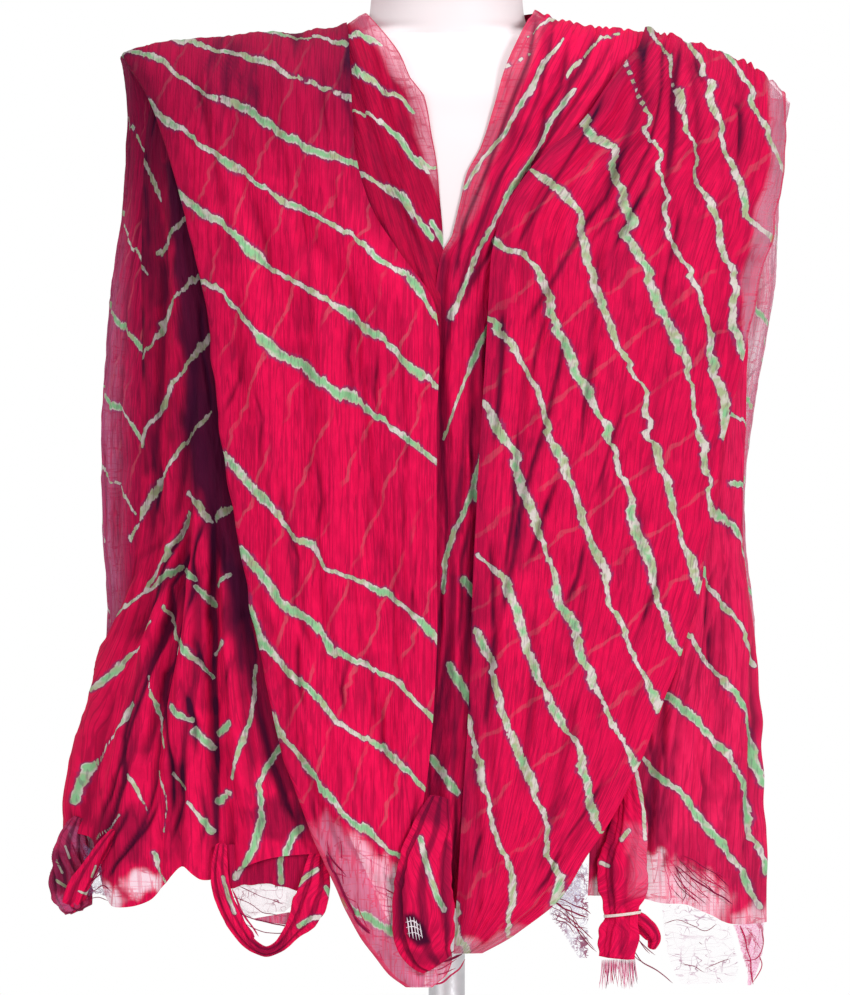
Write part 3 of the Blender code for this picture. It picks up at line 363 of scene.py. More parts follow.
# Creases, as the photo shows them: height, half width and places. Below 0 they are valleys, which get
# painted shade
CREASES_PANEL_LEFT = courses("""
    -2.6 3.4: -131,587 -126,562 -122,544 -119,523 -116,505
    -2.2 3: -97,579 -96,557 -95,534
    -2.4 3.2: -69,699 -65,679 -59,655 -55,625 -52,591 -46,550
    2.4 4.5: -165,679 -153,638 -143,591 -137,546
    -1.8 2.8: -175,672 -165,642 -158,611 -150,570
    2 4: -111,679 -107,631 -105,584 -103,542
    -1.6 3: -85,679 -82,638 -78,591 -69,557
    2.2 5: -88,550 -83,502 -79,451 -78,400
    -2.2 3.2: -66,536 -62,495 -55,448 -51,400 -46,366
    -1.6 2.6: -100,495 -96,455 -94,421
    1.8 4: -129,516 -125,468 -122,427 -114,380
    -2 3: -141,523 -137,482 -133,448
    -1.8 2.8: -35,516 -32,475 -29,434 -30,393
    2.2 4.5: -22,495 -20,434 -22,366 -24,305
    -2.2 3.4: -110,400 -105,353 -98,312 -88,271
    1.8 4.2: -83,366 -78,319 -69,271 -62,230
    -1.9 3: -65,339 -59,298 -51,251 -43,203
    -1.7 2.6: -37,339 -36,291 -32,244
    2 4: -122,339 -114,298 -103,251 -88,210
    -2.6 3.2: -100,217 -88,183 -75,155 -65,134
    2 3.6: -51,217 -46,183 -41,149 -37,121
    -2 3: -66,213 -58,183 -50,155 -41,128
    -1.8 3: -80,176 -69,154 -54,131 -37,113
""")
CREASES_PANEL_RIGHT = courses("""
    -3.2 3.4: 112,701 108,679 97,655 84,631
    2.8 4: 121,699 119,679 112,655 101,631
    -3.4 3.2: 131,699 131,678 127,653 119,625 108,591
    2.6 3.8: 141,697 142,672 139,645 133,611
    -2.8 3.2: 150,693 153,665 152,635 146,597 138,557
    -2.4 3: 165,686 168,655 168,625 163,584
    2.2 3.8: 182,679 183,645 180,604 173,563
    -2 3: 198,674 198,638 194,597
    -2.2 3.4: 67,604 56,577 50,543 47,509
    2.2 4.4: 87,611 78,570 71,523 67,475
    -2 3: 104,557 97,516 92,475 89,427
    -1.8 2.8: 39,557 36,516 36,475 33,434
    2 4.2: 131,543 124,495 118,448 111,400
    -2 3.2: 150,529 143,482 135,434 126,387
    -2.2 3: 50,475 50,427 48,380 44,332
    1.8 4: 77,427 74,380 70,332 66,285
    -2 3.2: 103,400 96,353 88,305 78,257
    -1.8 2.8: 131,380 122,339 111,298
    2 4: 36,366 36,312 39,257 41,210
    -2.2 3.2: 56,312 55,271 54,223 50,176
    -2 3: 84,251 77,210 69,169 58,128
    -1.6 3: 27,285 28,230 31,176 32,121
    1.8 3.6: 104,271 96,223 85,176 74,142
    -1.8 2.6: 17,244 18,189 21,135 22,94
""")
CREASES_NECK = courses("""
    -2.2 3: -66,693 -62,665 -55,635 -46,601 -33,567
    1.8 3.2: -54,699 -43,669 -33,635 -25,601
    -1.8 2.6: -42,679 -32,645 -22,611 -15,574
    -2 2.6: -51,631 -39,594 -22,557 -13,533
    -2.8 2.6: -7,618 -5,587 -4,557 -5,516
""")
CREASES_CENTRE = courses("""
    -3 2.6: -4,557 -4,516 -4,475 -3,427 -5,366
    -2.6 2.8: 104,706 90,672 71,638 52,611
    2.2 3.2: 87,709 77,679 61,645 44,618
    -2.2 2.8: 71,709 66,679 52,648 39,618
    -2.4 2.8: 50,645 36,608 24,563 16,516
    -2.8 2.6: 24,516 16,461 10,407 7,353
    -2.8 2.6: 33,434 22,380 14,319 12,257
    -2.6 2.4: 18,339 13,285 7,230 3,176
    -2.6 2.6: 1,434 2,366 2,298 -1,230
    -2.4 2.6: -5,244 -6,203 -10,162 -13,121
""")
CREASES_SIDE_LEFT = courses("""
    -3 3: -195,550 -197,495 -198,434 -199,380 -202,349
    2.6 4: -185,543 -184,482 -187,421 -190,366
    -2.8 3: -168,495 -171,448 -177,400 -187,359
    -3.6 3: -157,380 -158,312 -160,244 -158,176 -157,132
    -3.2 2.8: -171,366 -180,339 -197,312 -217,285
    2.6 3.4: -168,349 -177,325 -192,298 -213,268
    -3.4 3: -173,349 -184,312 -201,271 -221,230
    -3.2 2.8: -176,339 -183,291 -195,244 -209,196
    2.8 3.6: -171,339 -175,285 -184,230 -195,183
    -3.4 2.8: -165,339 -168,285 -175,230 -180,176
    -3 2.8: -146,353 -142,298 -137,244 -130,189
    2.6 3.4: -152,339 -149,285 -143,230 -139,176
    -3.2 2.8: -138,312 -130,257 -120,210 -109,162
    -2.6 2.6: -229,251 -239,217 -245,183 -251,149
    2.4 3.4: -218,244 -228,203 -236,162 -241,128
    -2.8 2.6: -209,230 -218,189 -226,149 -229,115
    -2.6 2.6: -129,244 -119,203 -105,169 -93,142
    2 3: -195,189 -201,155 -202,121
    -2.6 2.6: -148,176 -146,149 -142,121
    -2.2 2.6: -209,339 -220,319 -228,298
""")
CREASES_SIDE_RIGHT = courses("""
    -2.8 2.8: 199,536 194,482 187,427 183,380
    2.2 3.6: 207,495 202,441 198,387 198,339
    -2.6 2.8: 184,407 180,353 176,298 172,244
    2.4 4: 199,339 201,285 202,230 201,176
    -2.6 2.8: 188,339 187,285 186,230 183,176
    -3 2.8: 165,285 160,237 153,189 148,142
    2.2 3.4: 175,257 171,210 165,162 163,121
    -2.4 2.8: 209,285 210,230 207,176 205,128
    -2.4 2.6: 150,244 142,196 137,149 135,108
    -2.2 2.6: 192,176 194,142 191,111
""")
# Loose threads over the left panel's open hem: width, material slot and places
THREADS_FRONT = """
    0.9 1: -80,142 -73,134 -63,123 -47,108 -33,105
    0.7 2: -78,138 -58,121 -33,110
    0.6 1: -67,149 -50,136 -37,130
    0.7 1: -70,140 -55,127 -41,110
    0.8 2: -71,170 -70,145 -69,121
    0.7 1: -49,151 -50,121 -48,94
    1.8 1: -80,140 -73,123 -65,106 -58,94 -47,84 -32,76 -14,66 10,73
    1.2 2: -47,81 -43,70 -33,62 -23,55 -14,52 -3,55 7,62 12,70
    0.6 2: -43,78 -33,68 -21,63 -5,63 7,70
    0.6 1: -59,142 -55,119 -46,98 -33,85
    0.5 1: -73,152 -62,145 -43,140 -31,135
"""
# Finer furrows between the creases, in the same way
FURROWS_PANEL_RIGHT = courses("""
    -0.9 1.5: 140,698 134,681 131,655 136,638
    -1.6 1.3: 150,696 144,671 140,642 134,618 116,583 93,552
    -2.3 1.8: 160,692 155,669 152,653 150,626 144,599
    -2 1.5: 169,689 171,669 175,655
    -1.6 1.3: 105,655 89,626 73,599 56,571 42,544
    -2.3 1.8: 116,611 105,583 93,568 77,544 62,517 50,495
    -2 1.5: 136,611 130,591 116,564 105,544
    -1.6 1.3: 155,583 152,560 144,532 140,505
    -2.3 1.8: 189,655 198,642 194,611
    -2 1.5: 35,510 36,492 35,465 32,438 29,414
    -1.6 1.3: 66,510 60,490 56,469 54,457
    -2.3 1.8: 77,492 73,473 66,438 58,414 52,391 46,367 43,340 34,301
    -2 1.5: 46,434 45,407 43,379 40,356 36,325
    -1.6 1.3: 97,487 93,465 89,438 85,414
    -2.3 1.8: 73,399 66,379 60,360 50,332
    -2 1.5: 27,356 30,321 29,289
    -1.6 1.3: 116,451 112,434 103,407 93,379
    -2.3 1.8: 140,340 136,321 124,291
    -2 1.5: 89,354 85,328 77,305
    -1.6 1.3: 17,312 14,288 13,253 15,230
    -2.3 1.8: 32,300 29,273 27,247 25,222
    -1.6 1.3: 25,163 19,144 15,124
    -2.3 1.8: 85,230 81,210
    -2 1.5: 77,150 66,124 54,109
    -1.6 1.3: 105,195 89,167 73,146
""")
FURROWS_CENTRE = courses("""
    -2 1.5: 62,714 56,681 44,648 27,603 11,564 3,525
    -1.6 1.3: 73,708 70,685 62,655 46,618 29,583 15,548 5,507
    -2.3 1.8: 83,691 77,661 66,642 60,611 46,587
    -2 1.5: 103,702 93,677 83,663 77,642 66,618
    -1.6 1.3: 116,700 105,677 89,653 73,630 58,607 50,595
    -2.3 1.8: 50,593 38,571 27,544 15,525 9,505
    -2 1.5: 27,516 29,504 25,477 27,451 25,422 21,407
    -1.6 1.3: -5,469 -4,422 -1,379 -2,340 -5,301 -6,278
    -2.3 1.8: 3,516 2,496 -1,477
    -2 1.5: 15,364 10,340 9,311 7,278
    -1.6 1.3: -3,312 -7,273 -9,230 -13,203 -12,171
    -2.3 1.8: 0,286 -3,253 -7,224
    -2 1.5: 5,187 6,163 4,136 5,105
    -1.6 1.3: -20,187 -18,163 -20,144
    -2.3 1.8: 11,407 7,379 5,348
    -2 1.5: 19,451 15,418 17,395
""")
FURROWS_SIDE_LEFT = courses("""
    -2 1.5: -187,308 -195,281 -206,247 -220,203 -238,156
    -1.6 1.3: -179,300 -187,267 -195,230 -199,187 -206,160 -222,130
    -2.3 1.8: -183,273 -192,261 -195,247 -187,203 -185,163
    -2 1.5: -160,312 -159,277 -158,234 -157,195 -157,146
    -1.6 1.3: -169,288 -167,273 -161,253
    -2.3 1.8: -210,247 -218,218 -218,187 -230,158 -245,124
    -2 1.5: -195,177 -206,156 -220,136 -236,117
    -1.6 1.3: -167,187 -163,163 -167,140
    -2.3 1.8: -144,273 -150,247
    -2 1.5: -134,300 -129,273 -130,261
    -1.6 1.3: -255,175 -257,156 -263,130
    -2.3 1.8: -212,177 -220,156 -240,130
    -2 1.5: -177,253 -171,230 -169,203
    -1.6 1.3: -117,203 -109,175 -101,160
    -2.3 1.8: -179,203 -177,175 -187,144
    -1.2 1.8: -208,516 -209,487 -208,457
    -1.6 1.3: -167,516 -164,477 -160,457 -158,434
    -2.3 1.8: -169,379 -179,360 -187,340 -195,321 -206,297
    -2 1.5: -163,371 -167,348 -169,321 -175,297
    -1.6 1.3: -158,364 -159,340 -160,317 -163,291
    -2.3 1.8: -150,360 -150,340 -148,321
    -1 2.6: -179,364 -195,350 -210,340 -220,328
    -1.6 1.3: -175,346 -187,321 -189,282
    -0.8 2.4: -202,391 -195,367 -185,354
""")
FURROWS_PANEL_LEFT = courses("""
    -2 1.5: -132,490 -138,461 -150,434
    -1.6 1.3: -109,391 -107,367 -99,340 -101,311 -91,282
    -2.3 1.8: -87,410 -83,379 -89,354
    -2 1.5: -31,403 -29,367 -31,348
    -1.6 1.3: -19,350 -23,321 -25,299
    -2.3 1.8: -62,504 -68,477 -64,457 -68,438
    -2 1.5: -128,457 -122,434 -124,407
    -1.6 1.3: -46,477 -48,451 -44,432
    -2.3 1.8: -97,292 -99,261 -93,234
    -2 1.5: -62,283 -70,253 -68,230
    -1.6 1.3: -19,187 -23,163 -19,144
    -2.3 1.8: -91,187 -89,171 -85,156
    -2 1.5: -44,247 -44,222 -40,195
""")
FURROWS_SIDE_RIGHT = courses("""
    -2 1.5: 142,277 138,253 140,222 142,195
    -1.6 1.3: 155,269 150,247 148,218 149,187 144,163
    -2.3 1.8: 183,300 181,273 185,253
    -2 1.5: 210,253 212,230 209,203
    -1.6 1.3: 142,152 148,136 144,121
    -2.3 1.8: 175,203 179,183 175,163
    -2 1.5: 134,187 140,167 136,144
    -1.6 1.3: 185,340 179,317 177,289
    -2.3 1.8: 191,371 189,348
""")

def read(table, place, column):
    """A table's column at places along its first column, through a smooth curve."""
    rows = np.array(sorted(table), float)
    keys, values = rows[:, 0], rows[:, column]
    last = len(keys) - 1
    place = np.clip(np.asarray(place, float), keys[0], keys[-1])
    low = np.clip(np.searchsorted(keys[1:], place, side="left"), 0, last - 1)
    high = low + 1
    before = np.maximum(low - 1, 0)
    after = np.minimum(low + 2, last)
    span = keys[high] - keys[low]
    part = (place - keys[low]) / span
    slope_low = span * (values[high] - values[before]) / (keys[high] - keys[before])
    slope_high = span * (values[after] - values[low]) / (keys[after] - keys[low])
    square = part * part
    cube = square * part
    return (
        (2 * cube - 3 * square + 1) * values[low]
        + (cube - 2 * square + part) * slope_low
        + (3 * square - 2 * cube) * values[high]
        + (cube - square) * slope_high
    )


def mix(low, high, part):
    """The value that lies the given part of the way from low to high."""
    return low + (high - low) * part


def smooth(value, low, high):
    """0 at low, 1 at high, with soft ends."""
    part = np.clip((value - low) / (high - low), 0, 1)
    return part * part * (3 - 2 * part)


def noise(x, y, seed):
    """Smooth random values from -1 to 1 over a plane, one cell for each unit.

    Each use of it adds a number of its own to its piece's seed, so that no two go in step.
    """
    lattice = np.random.default_rng(seed).uniform(-1, 1, (LATTICE, LATTICE))
    x_low, y_low = np.floor(x).astype(int), np.floor(y).astype(int)
    x_part, y_part = smooth(x - x_low, 0, 1), smooth(y - y_low, 0, 1)
    x_low, y_low, x_high, y_high = (cell % LATTICE for cell in (x_low, y_low, x_low + 1, y_low + 1))
    low = mix(lattice[x_low, y_low], lattice[x_high, y_low], x_part)
    high = mix(lattice[x_low, y_high], lattice[x_high, y_high], x_part)
    return mix(low, high, y_part)


def half_size(name, z):
    """Half the drape's oval at a height, towards the left, right, front or back."""
    return read(OVAL, z, OVAL_COLUMNS.index(name))


def half_width(side, z):
    """Half the drape's width at a height, on the side that -1 or 1 names."""
    return np.where(side < 0, half_size("left", z), half_size("right", z))


def ridge_height(x):
    """Height of the shoulder line at a place across."""
    return read(RIDGE, x, 1)


def drape(angle, z, side, lift, slide=0.0):
    """Points of the drape: angle in radians from the front centre, side -1 or 1."""
    width = half_width(side, z)
    depth = np.where(angle < math.pi / 2, half_size("front", z), half_size("back", z))
    x = side * width * np.sin(angle)
    below = np.clip((ridge_height(x) - z) / SHOULDER_ROUND, 0, 1)
    upright = np.sqrt(np.maximum(1 - (1 - below) ** 2, 0))
    out_x, out_y = np.sin(angle) * side / width, -np.cos(angle) / depth
    length = np.hypot(out_x, out_y)
    out_x, out_y = out_x / length * upright, out_y / length * upright
    along_x = side * width * np.cos(angle)
    along_y = depth * np.sin(angle) * np.maximum(upright, 0.05)
    length = np.maximum(np.hypot(along_x, along_y), TINY)
    return np.stack((
        x + out_x * lift + along_x / length * slide,
        -depth * np.cos(angle) * upright + out_y * lift + along_y / length * slide,
        z + (1 - below) * lift,
    ), -1)


def on_front(x, z, lift, slide=0.0):
    """Points of the front at their places along X and up."""
    side = np.where(x < 0, -1.0, 1.0)
    angle = np.arcsin(np.clip(side * x / half_width(side, z), -1, 1))
    return drape(angle, z, side, lift, slide)


def fold_height(folds, across, down, width):
    """Height of the broad folds, whose places and ends are shares of the stretch."""
    total = np.zeros(np.broadcast(across, down).shape)
    for top, bottom, start, end, half, height in folds:
        centre = top + (bottom - top) * down
        away = (across - centre) * width / half
        along = (down - start) / (end - start)
        fade = np.minimum(1, along * FOLD_FADE)
        if end < 1:
            fade = np.minimum(fade, (1 - along) * FOLD_FADE)
        total = total + height * np.exp(-away * away) * np.clip(fade, 0, 1)
    return total


def edge_rows(top, bottom, top_steps, steps):
    """Heights of a stretch's rows: close together round the shoulder, then evenly down."""
    turns = math.pi / 2 * np.arange(top_steps) / max(top_steps, 1)
    start = top - SHOULDER_ROUND if top_steps else top
    return np.concatenate((
        top - SHOULDER_ROUND * (1 - np.cos(turns)),
        mix(start, bottom, np.arange(steps + 1) / steps),
    ))


def near(x, z, lines):
    """Distance from each place to the nearest of some lines, over each line's half width.

    Each line is its half width, a value and its points. Gives distances and values.
    """
    best = np.full(x.shape, FAR)
    value = np.zeros(x.shape)
    for half, mark, points in lines:
        for (x0, z0), (x1, z1) in zip(points, points[1:]):
            run_x, run_z = x1 - x0, z1 - z0
            along = ((x - x0) * run_x + (z - z0) * run_z) / (run_x ** 2 + run_z ** 2)
            along = np.clip(along, 0, 1)
            away = np.hypot(x - x0 - along * run_x, z - z0 - along * run_z) / half
            nearer = away < best
            best = np.where(nearer, away, best)
            value = np.where(nearer, mark, value)
    return best, value


def inside(x, z, points, soft):
    """1 inside a closed outline, 0 outside it, with a soft border of that width."""
    outline = list(points) + [points[0]]
    odd = np.zeros(x.shape, bool)
    for (x0, z0), (x1, z1) in zip(outline, outline[1:]):
        crosses = (z0 > z) != (z1 > z)
        at = x0 + (z - z0) * (x1 - x0) / ((z1 - z0) or TINY)
        odd ^= crosses & (x < at)
    away, _ = near(x, z, [(1.0, 0, outline)])
    signed = np.where(odd, away, -away)
    return smooth(signed, -soft / 2, soft / 2)


def crinkle(across, along, seed, size=1.0):
    """Height of the fine pressed crinkles that run lengthwise, in millimetres."""
    wander = 4 * noise(across / 31, along / 44, seed) + 1.6 * noise(across / 9, along / 15, seed + 5)
    across = across + wander
    sharp = 1 - 2 * np.abs(noise(across / 6.0, along / 34, seed + 1))
    fine = 1 - 2 * np.abs(noise(across / 3.1, along / 15, seed + 2))
    broad = noise(across / 13, along / 60, seed + 3)
    cross = noise(across / 10, along / 8, seed + 4)
    return size * (0.5 * sharp + 0.3 * fine + 0.95 * broad + 0.28 * cross)


def valleys(relief):
    """How much painted shade the bottoms of the crinkles get, from 0 to 1."""
    return smooth(-relief, -0.1, 1.5)


def uneven(away, green, across, along, seed):
    """Makes tied lines swell, thin out and here and there break off, palest where they are thin."""
    width = 0.42 + 0.44 * smooth(noise(across / 21, along / 24, seed), -0.45, 0.5)
    width = width + 0.07 * noise(across / 3, along / 4, seed + 2)
    breaks = smooth(noise(across / 7, along / 9, seed + 1), 0.66, 0.9)
    return away / width + 0.4 * breaks, green + 1.5 * (width - 0.64)


def longer(lines, reach):
    """The same lines with both ends drawn out."""
    made = []
    for half, mark, points in lines:
        points = [np.array(point, float) for point in points]
        for end, following in ((0, 1), (-1, -2)):
            ahead = points[end] - points[following]
            points[end] = points[end] + ahead / np.hypot(*ahead) * reach
        made.append((half, mark, [tuple(point) for point in points]))
    return made


def round_side(lines, side):
    """Lines read from the front, with their places measured round the side."""
    made = []
    for half, mark, points in lines:
        turned = []
        for x, z in points:
            angle = math.asin(min(abs(x) / float(half_width(side, z)), 1))
            turned.append((angle * SIDE_SPAN, z))
        made.append((half, mark, turned))
    return made


def crease_relief(x, z, creases):
    """Height and darkening of the creases: height, half width, points."""
    height = np.zeros(x.shape)
    dark = np.zeros(x.shape)
    for rise, half, points in creases:
        x_bent = x + 0.6 * half * noise(x / 60, z / 26, int(abs(points[0][0]) * 7 + 5))
        away, _ = near(x_bent, z, [(half, 0, points)])
        to_end = np.minimum(*(np.hypot(x - end[0], z - end[1]) for end in (points[0], points[-1])))
        bump = np.exp(-away * away) * smooth(to_end, -2, 16)
        height += rise * bump
        # Valleys get painted shade, darkest along their middle
        if rise < 0:
            dark += min(1.0, -rise / (DARKEST_CREASE if half > 2 else DARKEST_FURROW)) * bump
    return height, np.clip(dark, 0, 1)


def stagger(across, along, seed):
    """How far a dyed line is thrown off by the crinkles that it crosses, in steps."""
    cell = across / 6.5 + 0.8 * noise(across / 30, along / 60, seed)
    low = np.floor(cell)
    step = noise(low * 1.37 + 0.5, along / 90, seed + 1)
    following = noise((low + 1) * 1.37 + 0.5, along / 90, seed + 1)
    return mix(step, following, smooth(cell - low, 0.62, 1.0))


def patch(points, across, along, line=None, green=0.0, under=None, sheer=0.0, shade=0.0, edge=None,
          **more):
    """One grid of points with what the dye, the weave and the painted shade need at each of them."""
    full = np.ones(points.shape[:2])
    made = {
        "points": points,
        "weave": np.stack((across * full, along * full, 0 * full), -1),
        "line": (FAR if line is None else line) * full,
        "green": green * full,
        "under": (0.5 if under is None else under) * full,
        "sheer": sheer * full,
        "shade": shade * full,
        "edge": (FAR if edge is None else edge) * full,
    }
    made.update(more)
    return made


FIELDS = ("line", "green", "under", "sheer", "shade", "edge")


def build(name, patches, materials):
    """One mesh object of some grids. A grid's slot is its material, ring closes its rows."""
    points, quads, slots, start = [], [], [], 0
    for part in patches:
        rows, columns = part["points"].shape[:2]
        index = start + np.arange(rows * columns).reshape(rows, columns)
        if part.get("ring"):
            index = np.concatenate((index, index[:, :1]), 1)
        quad = np.stack((index[:-1, :-1], index[1:, :-1], index[1:, 1:], index[:-1, 1:]), -1)
        quad = quad.reshape(-1, 4)
        if part.get("flip"):
            quad = quad[:, ::-1]
        quads.append(quad)
        slots.append(np.full(len(quad), part.get("slot", 0)))
        points.append(part["points"].reshape(-1, 3))
        start += rows * columns
    quads = np.concatenate(quads)
    mesh = bpy.data.meshes.new(name)
    mesh.from_pydata(np.concatenate(points) * MM, [], quads.tolist())
    mesh.polygons.foreach_set("material_index", np.concatenate(slots).astype(np.int32))
    for field in FIELDS:
        values = np.concatenate([part[field].ravel() for part in patches])
        mesh.attributes.new(field, "FLOAT", "POINT").data.foreach_set("value", values)
    weave = np.concatenate([part["weave"].reshape(-1, 3) for part in patches])
    mesh.attributes.new("weave", "FLOAT_VECTOR", "POINT").data.foreach_set("vector", weave.ravel())
    for material in materials:
        mesh.materials.append(material)
    mesh.shade_smooth()
    mesh.update()
    piece = bpy.data.objects.new(name, mesh)
    bpy.context.scene.collection.objects.link(piece)
    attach(piece, "root")
    return piece


# ---------------------------------------------------------------- materials

def srgb(red, green, blue):
    """A colour read off as 0 to 255, as the shader's linear colour."""
    def linear(value):
        value /= 255
        return value / 12.92 if value <= 0.04045 else ((value + 0.055) / 1.055) ** 2.4
    return (linear(red), linear(green), linear(blue), 1.0)


class Wire:
    """A node's output, with which sums and products are written as in arithmetic."""

    def __init__(self, tree, socket):
        self.tree, self.socket = tree, socket

    def __add__(self, other):
        return self.tree.math("ADD", self, other)

    def __radd__(self, other):
        return self.tree.math("ADD", other, self)

    def __rsub__(self, other):
        return self.tree.math("SUBTRACT", other, self)

    def __sub__(self, other):
        return self.tree.math("SUBTRACT", self, other)

    def __mul__(self, other):
        return self.tree.math("MULTIPLY", self, other)

    def __abs__(self):
        return self.tree.math("ABSOLUTE", self)


class Tree:
    """Short calls for a material's nodes. Its noise takes scales across and along the weave."""

    def __init__(self, name):
        self.material = bpy.data.materials.new(name)
        self.material.use_nodes = True
        self.nodes = self.material.node_tree.nodes
        self.links = self.material.node_tree.links
        self.shader = self.nodes["Principled BSDF"]

    def put(self, socket, value):
        """Links a socket to another node's output, or sets its own value."""
        if isinstance(value, Wire):
            self.links.new(value.socket, socket)
        elif value is not None:
            socket.default_value = value

    def add(self, kind, output=0, settings=(), **inputs):
        """Adds a node and gives one output. Inputs are named, or numbered as i0, i1 and so on."""
        node = self.nodes.new(kind)
        for key, value in dict(settings).items():
            setattr(node, key, value)
        for key, value in inputs.items():
            self.put(node.inputs[int(key[1:]) if key[1:].isdigit() else key], value)
        return Wire(self, node.outputs[output])

    def math(self, operation, first, second=None):
        return self.add("ShaderNodeMath", 0, {"operation": operation}, i0=first, i1=second)

    def field(self, name, output="Fac"):
        return self.add("ShaderNodeAttribute", output, {"attribute_name": name})

    def stretch(self, vector, x, y, z=1.0):
        return self.add("ShaderNodeMapping", 0, {"vector_type": "POINT"}, Vector=vector, Scale=(x, y, z))

    def noise(self, vector, x, y, detail=2.0, z=1.0):
        return self.add("ShaderNodeTexNoise", Vector=self.stretch(vector, x, y, z), Scale=1.0, Detail=detail)

    def strands(self, weave, sets):
        """Fine threads that wander: each set is two scales and a width, as a share of its noise."""
        total = None
        for number, (x, y, width) in enumerate(sets):
            one = self.step(abs(self.noise(weave, x, y, 1.5, 1.0 + number) - 0.5), width, width * 0.45)
            total = self.math("MAXIMUM", total, one) if total else one
        return total

    def span(self, value, low, high, first=0.0, last=1.0, kind="LINEAR"):
        """Turns low to high into first to last."""
        return self.add("ShaderNodeMapRange", 0, {"interpolation_type": kind},
                        i0=value, i1=low, i2=high, i3=first, i4=last)

    def step(self, value, low, high):
        """0 below low and 1 above high, or the other way round where low is more than high."""
        if low > high:
            return 1.0 - self.step(value, high, low)
        return self.span(value, low, high, kind="SMOOTHSTEP")

    def mix(self, part, low, high):
        """The colour that lies the given part of the way from low to high."""
        return self.add("ShaderNodeMix", 2, {"data_type": "RGBA"}, i0=part, i6=low, i7=high)

    def bump(self, height, strength, distance, normal=None):
        return self.add("ShaderNodeBump", Height=height, Strength=strength, Distance=distance, Normal=normal)

    def finish(self, specular, **sockets):
        """Sets the shader's sockets, named with _ for a space, and gives the material."""
        self.shader.inputs["Specular IOR Level"].default_value = specular
        for key, value in sockets.items():
            self.put(self.shader.inputs[key.replace("_", " ")], value)
        return self.material


# The dark plum that painted shade is mixed towards
PAINTED_SHADE = srgb(60, 8, 42)
MINT = srgb(144, 200, 148)
OFF_WHITE = srgb(220, 210, 204)
OLIVE = srgb(174, 184, 142)
LAVENDER = srgb(112, 56, 106)
KHAKI = srgb(204, 92, 106)


def silk(name, bright, dim, veil, clear, under=0.5):
    """Crinkled dyed silk, from its colours at 0 to 255.

    veil is its colour where it is sheer, clear how far it lets through there, and under how
    strongly the lines of the layer below show.
    """
    tree = Tree(name)
    bright, dim, veil = srgb(*bright), srgb(*dim), srgb(*veil)
    weave = tree.field("weave", "Vector")
    line, green, sheer = tree.field("line"), tree.field("green"), tree.field("sheer")
    streak = tree.noise(weave, 0.42, 0.07, 5.0)
    cloud = tree.noise(weave, 0.04, 0.025, 3.0)
    crimson = tree.mix(tree.step(streak, 0.35, 0.65), dim, bright)
    crimson = tree.mix(tree.step(cloud, 0.42, 0.72) * 0.35, crimson, dim)
    # Fine dark lines along the crinkles: painted shade
    wrinkle_shade = tree.strands(weave, ((0.2, 0.008, 0.024), (0.34, 0.012, 0.03)))
    crimson = tree.mix(wrinkle_shade * 0.3, crimson, PAINTED_SHADE)
    # lines of the layer below, which show through in places
    phase = tree.math("FRACT", tree.field("under") + tree.noise(weave, 0.05, 0.05, 2.0) * 0.5)
    faint = tree.step(abs(phase - 0.5), 0.052, 0.028)
    faint = faint * tree.step(tree.noise(weave, 0.05, 0.02, 2.0), 0.36, 0.56)
    faint = faint * tree.step(tree.noise(weave, 0.8, 0.2, 2.0), 0.2, 0.5)
    crimson = tree.mix(faint * under, crimson, KHAKI)
    # the tied lines: a pale band with a green core and a dark rim
    ragged = line + (tree.noise(weave, 0.6, 0.24, 3.0) - 0.5) * 1.1
    band = tree.step(ragged, 1.04, 0.86)
    rim = tree.step(ragged, 1.7, 1.08)
    green_places = tree.step(tree.noise(weave, 0.1, 0.09, 2.0) + green * 0.3, 0.58, 0.76)
    core = tree.step(ragged, 0.86, 0.36) * green_places
    pale = tree.mix(tree.step(tree.noise(weave, 0.13, 0.1, 2.0), 0.4, 0.6), OLIVE, OFF_WHITE)
    pale = tree.mix(tree.step(ragged, 0.55, 1.0) * 0.35, pale, OFF_WHITE)
    color = tree.mix(rim * 0.65, crimson, LAVENDER)
    dyed = tree.mix(core, pale, MINT)
    dyed = tree.mix(tree.step(tree.noise(weave, 0.95, 0.12, 1.0), 0.54, 0.66) * 0.4, dyed, LAVENDER)
    # sheer places, where threads still cover a part, and shade in the folds
    threads = tree.step(tree.noise(weave, 0.5, 0.02, 2.0), 0.5, 0.62)
    loose = tree.strands(weave, ((0.32, 0.022, 0.03), (0.03, 0.2, 0.02)))
    covered = tree.math("MAXIMUM", threads * 0.4, loose * 0.6)
    sheer_now = sheer * (1.0 - covered)
    color = tree.mix(sheer_now, color, veil)
    # Painted shade from the shade field darkens the ground, and the tied lines a little less
    gloom = tree.field("shade")
    color = tree.mix(gloom, color, PAINTED_SHADE)
    dyed = tree.mix(gloom * 0.6, dyed, PAINTED_SHADE)
    color = tree.mix(band, color, dyed)
    border = tree.step(tree.field("edge"), 1.3, 0.5) * sheer
    color = tree.mix(border * 0.8, color, dim)
    solid = tree.math("MAXIMUM", band * 0.8, border * 0.9)
    alpha = 1.0 - sheer_now * clear * (1.0 - solid)
    creped = tree.noise(weave, 1.1, 0.14, 3.0)
    woven = tree.add("ShaderNodeTexWave", 1, {"bands_direction": "X"},
                     Vector=weave, Scale=0.9, Distortion=0.6)
    normal = tree.bump(creped, 0.75, 0.0007, tree.bump(woven, 0.25, 0.00006))
    rough = tree.span(streak, 0.3, 0.7, 0.62, 0.8)
    return tree.finish(0.06, Base_Color=color, Roughness=rough, Alpha=alpha, Normal=normal)


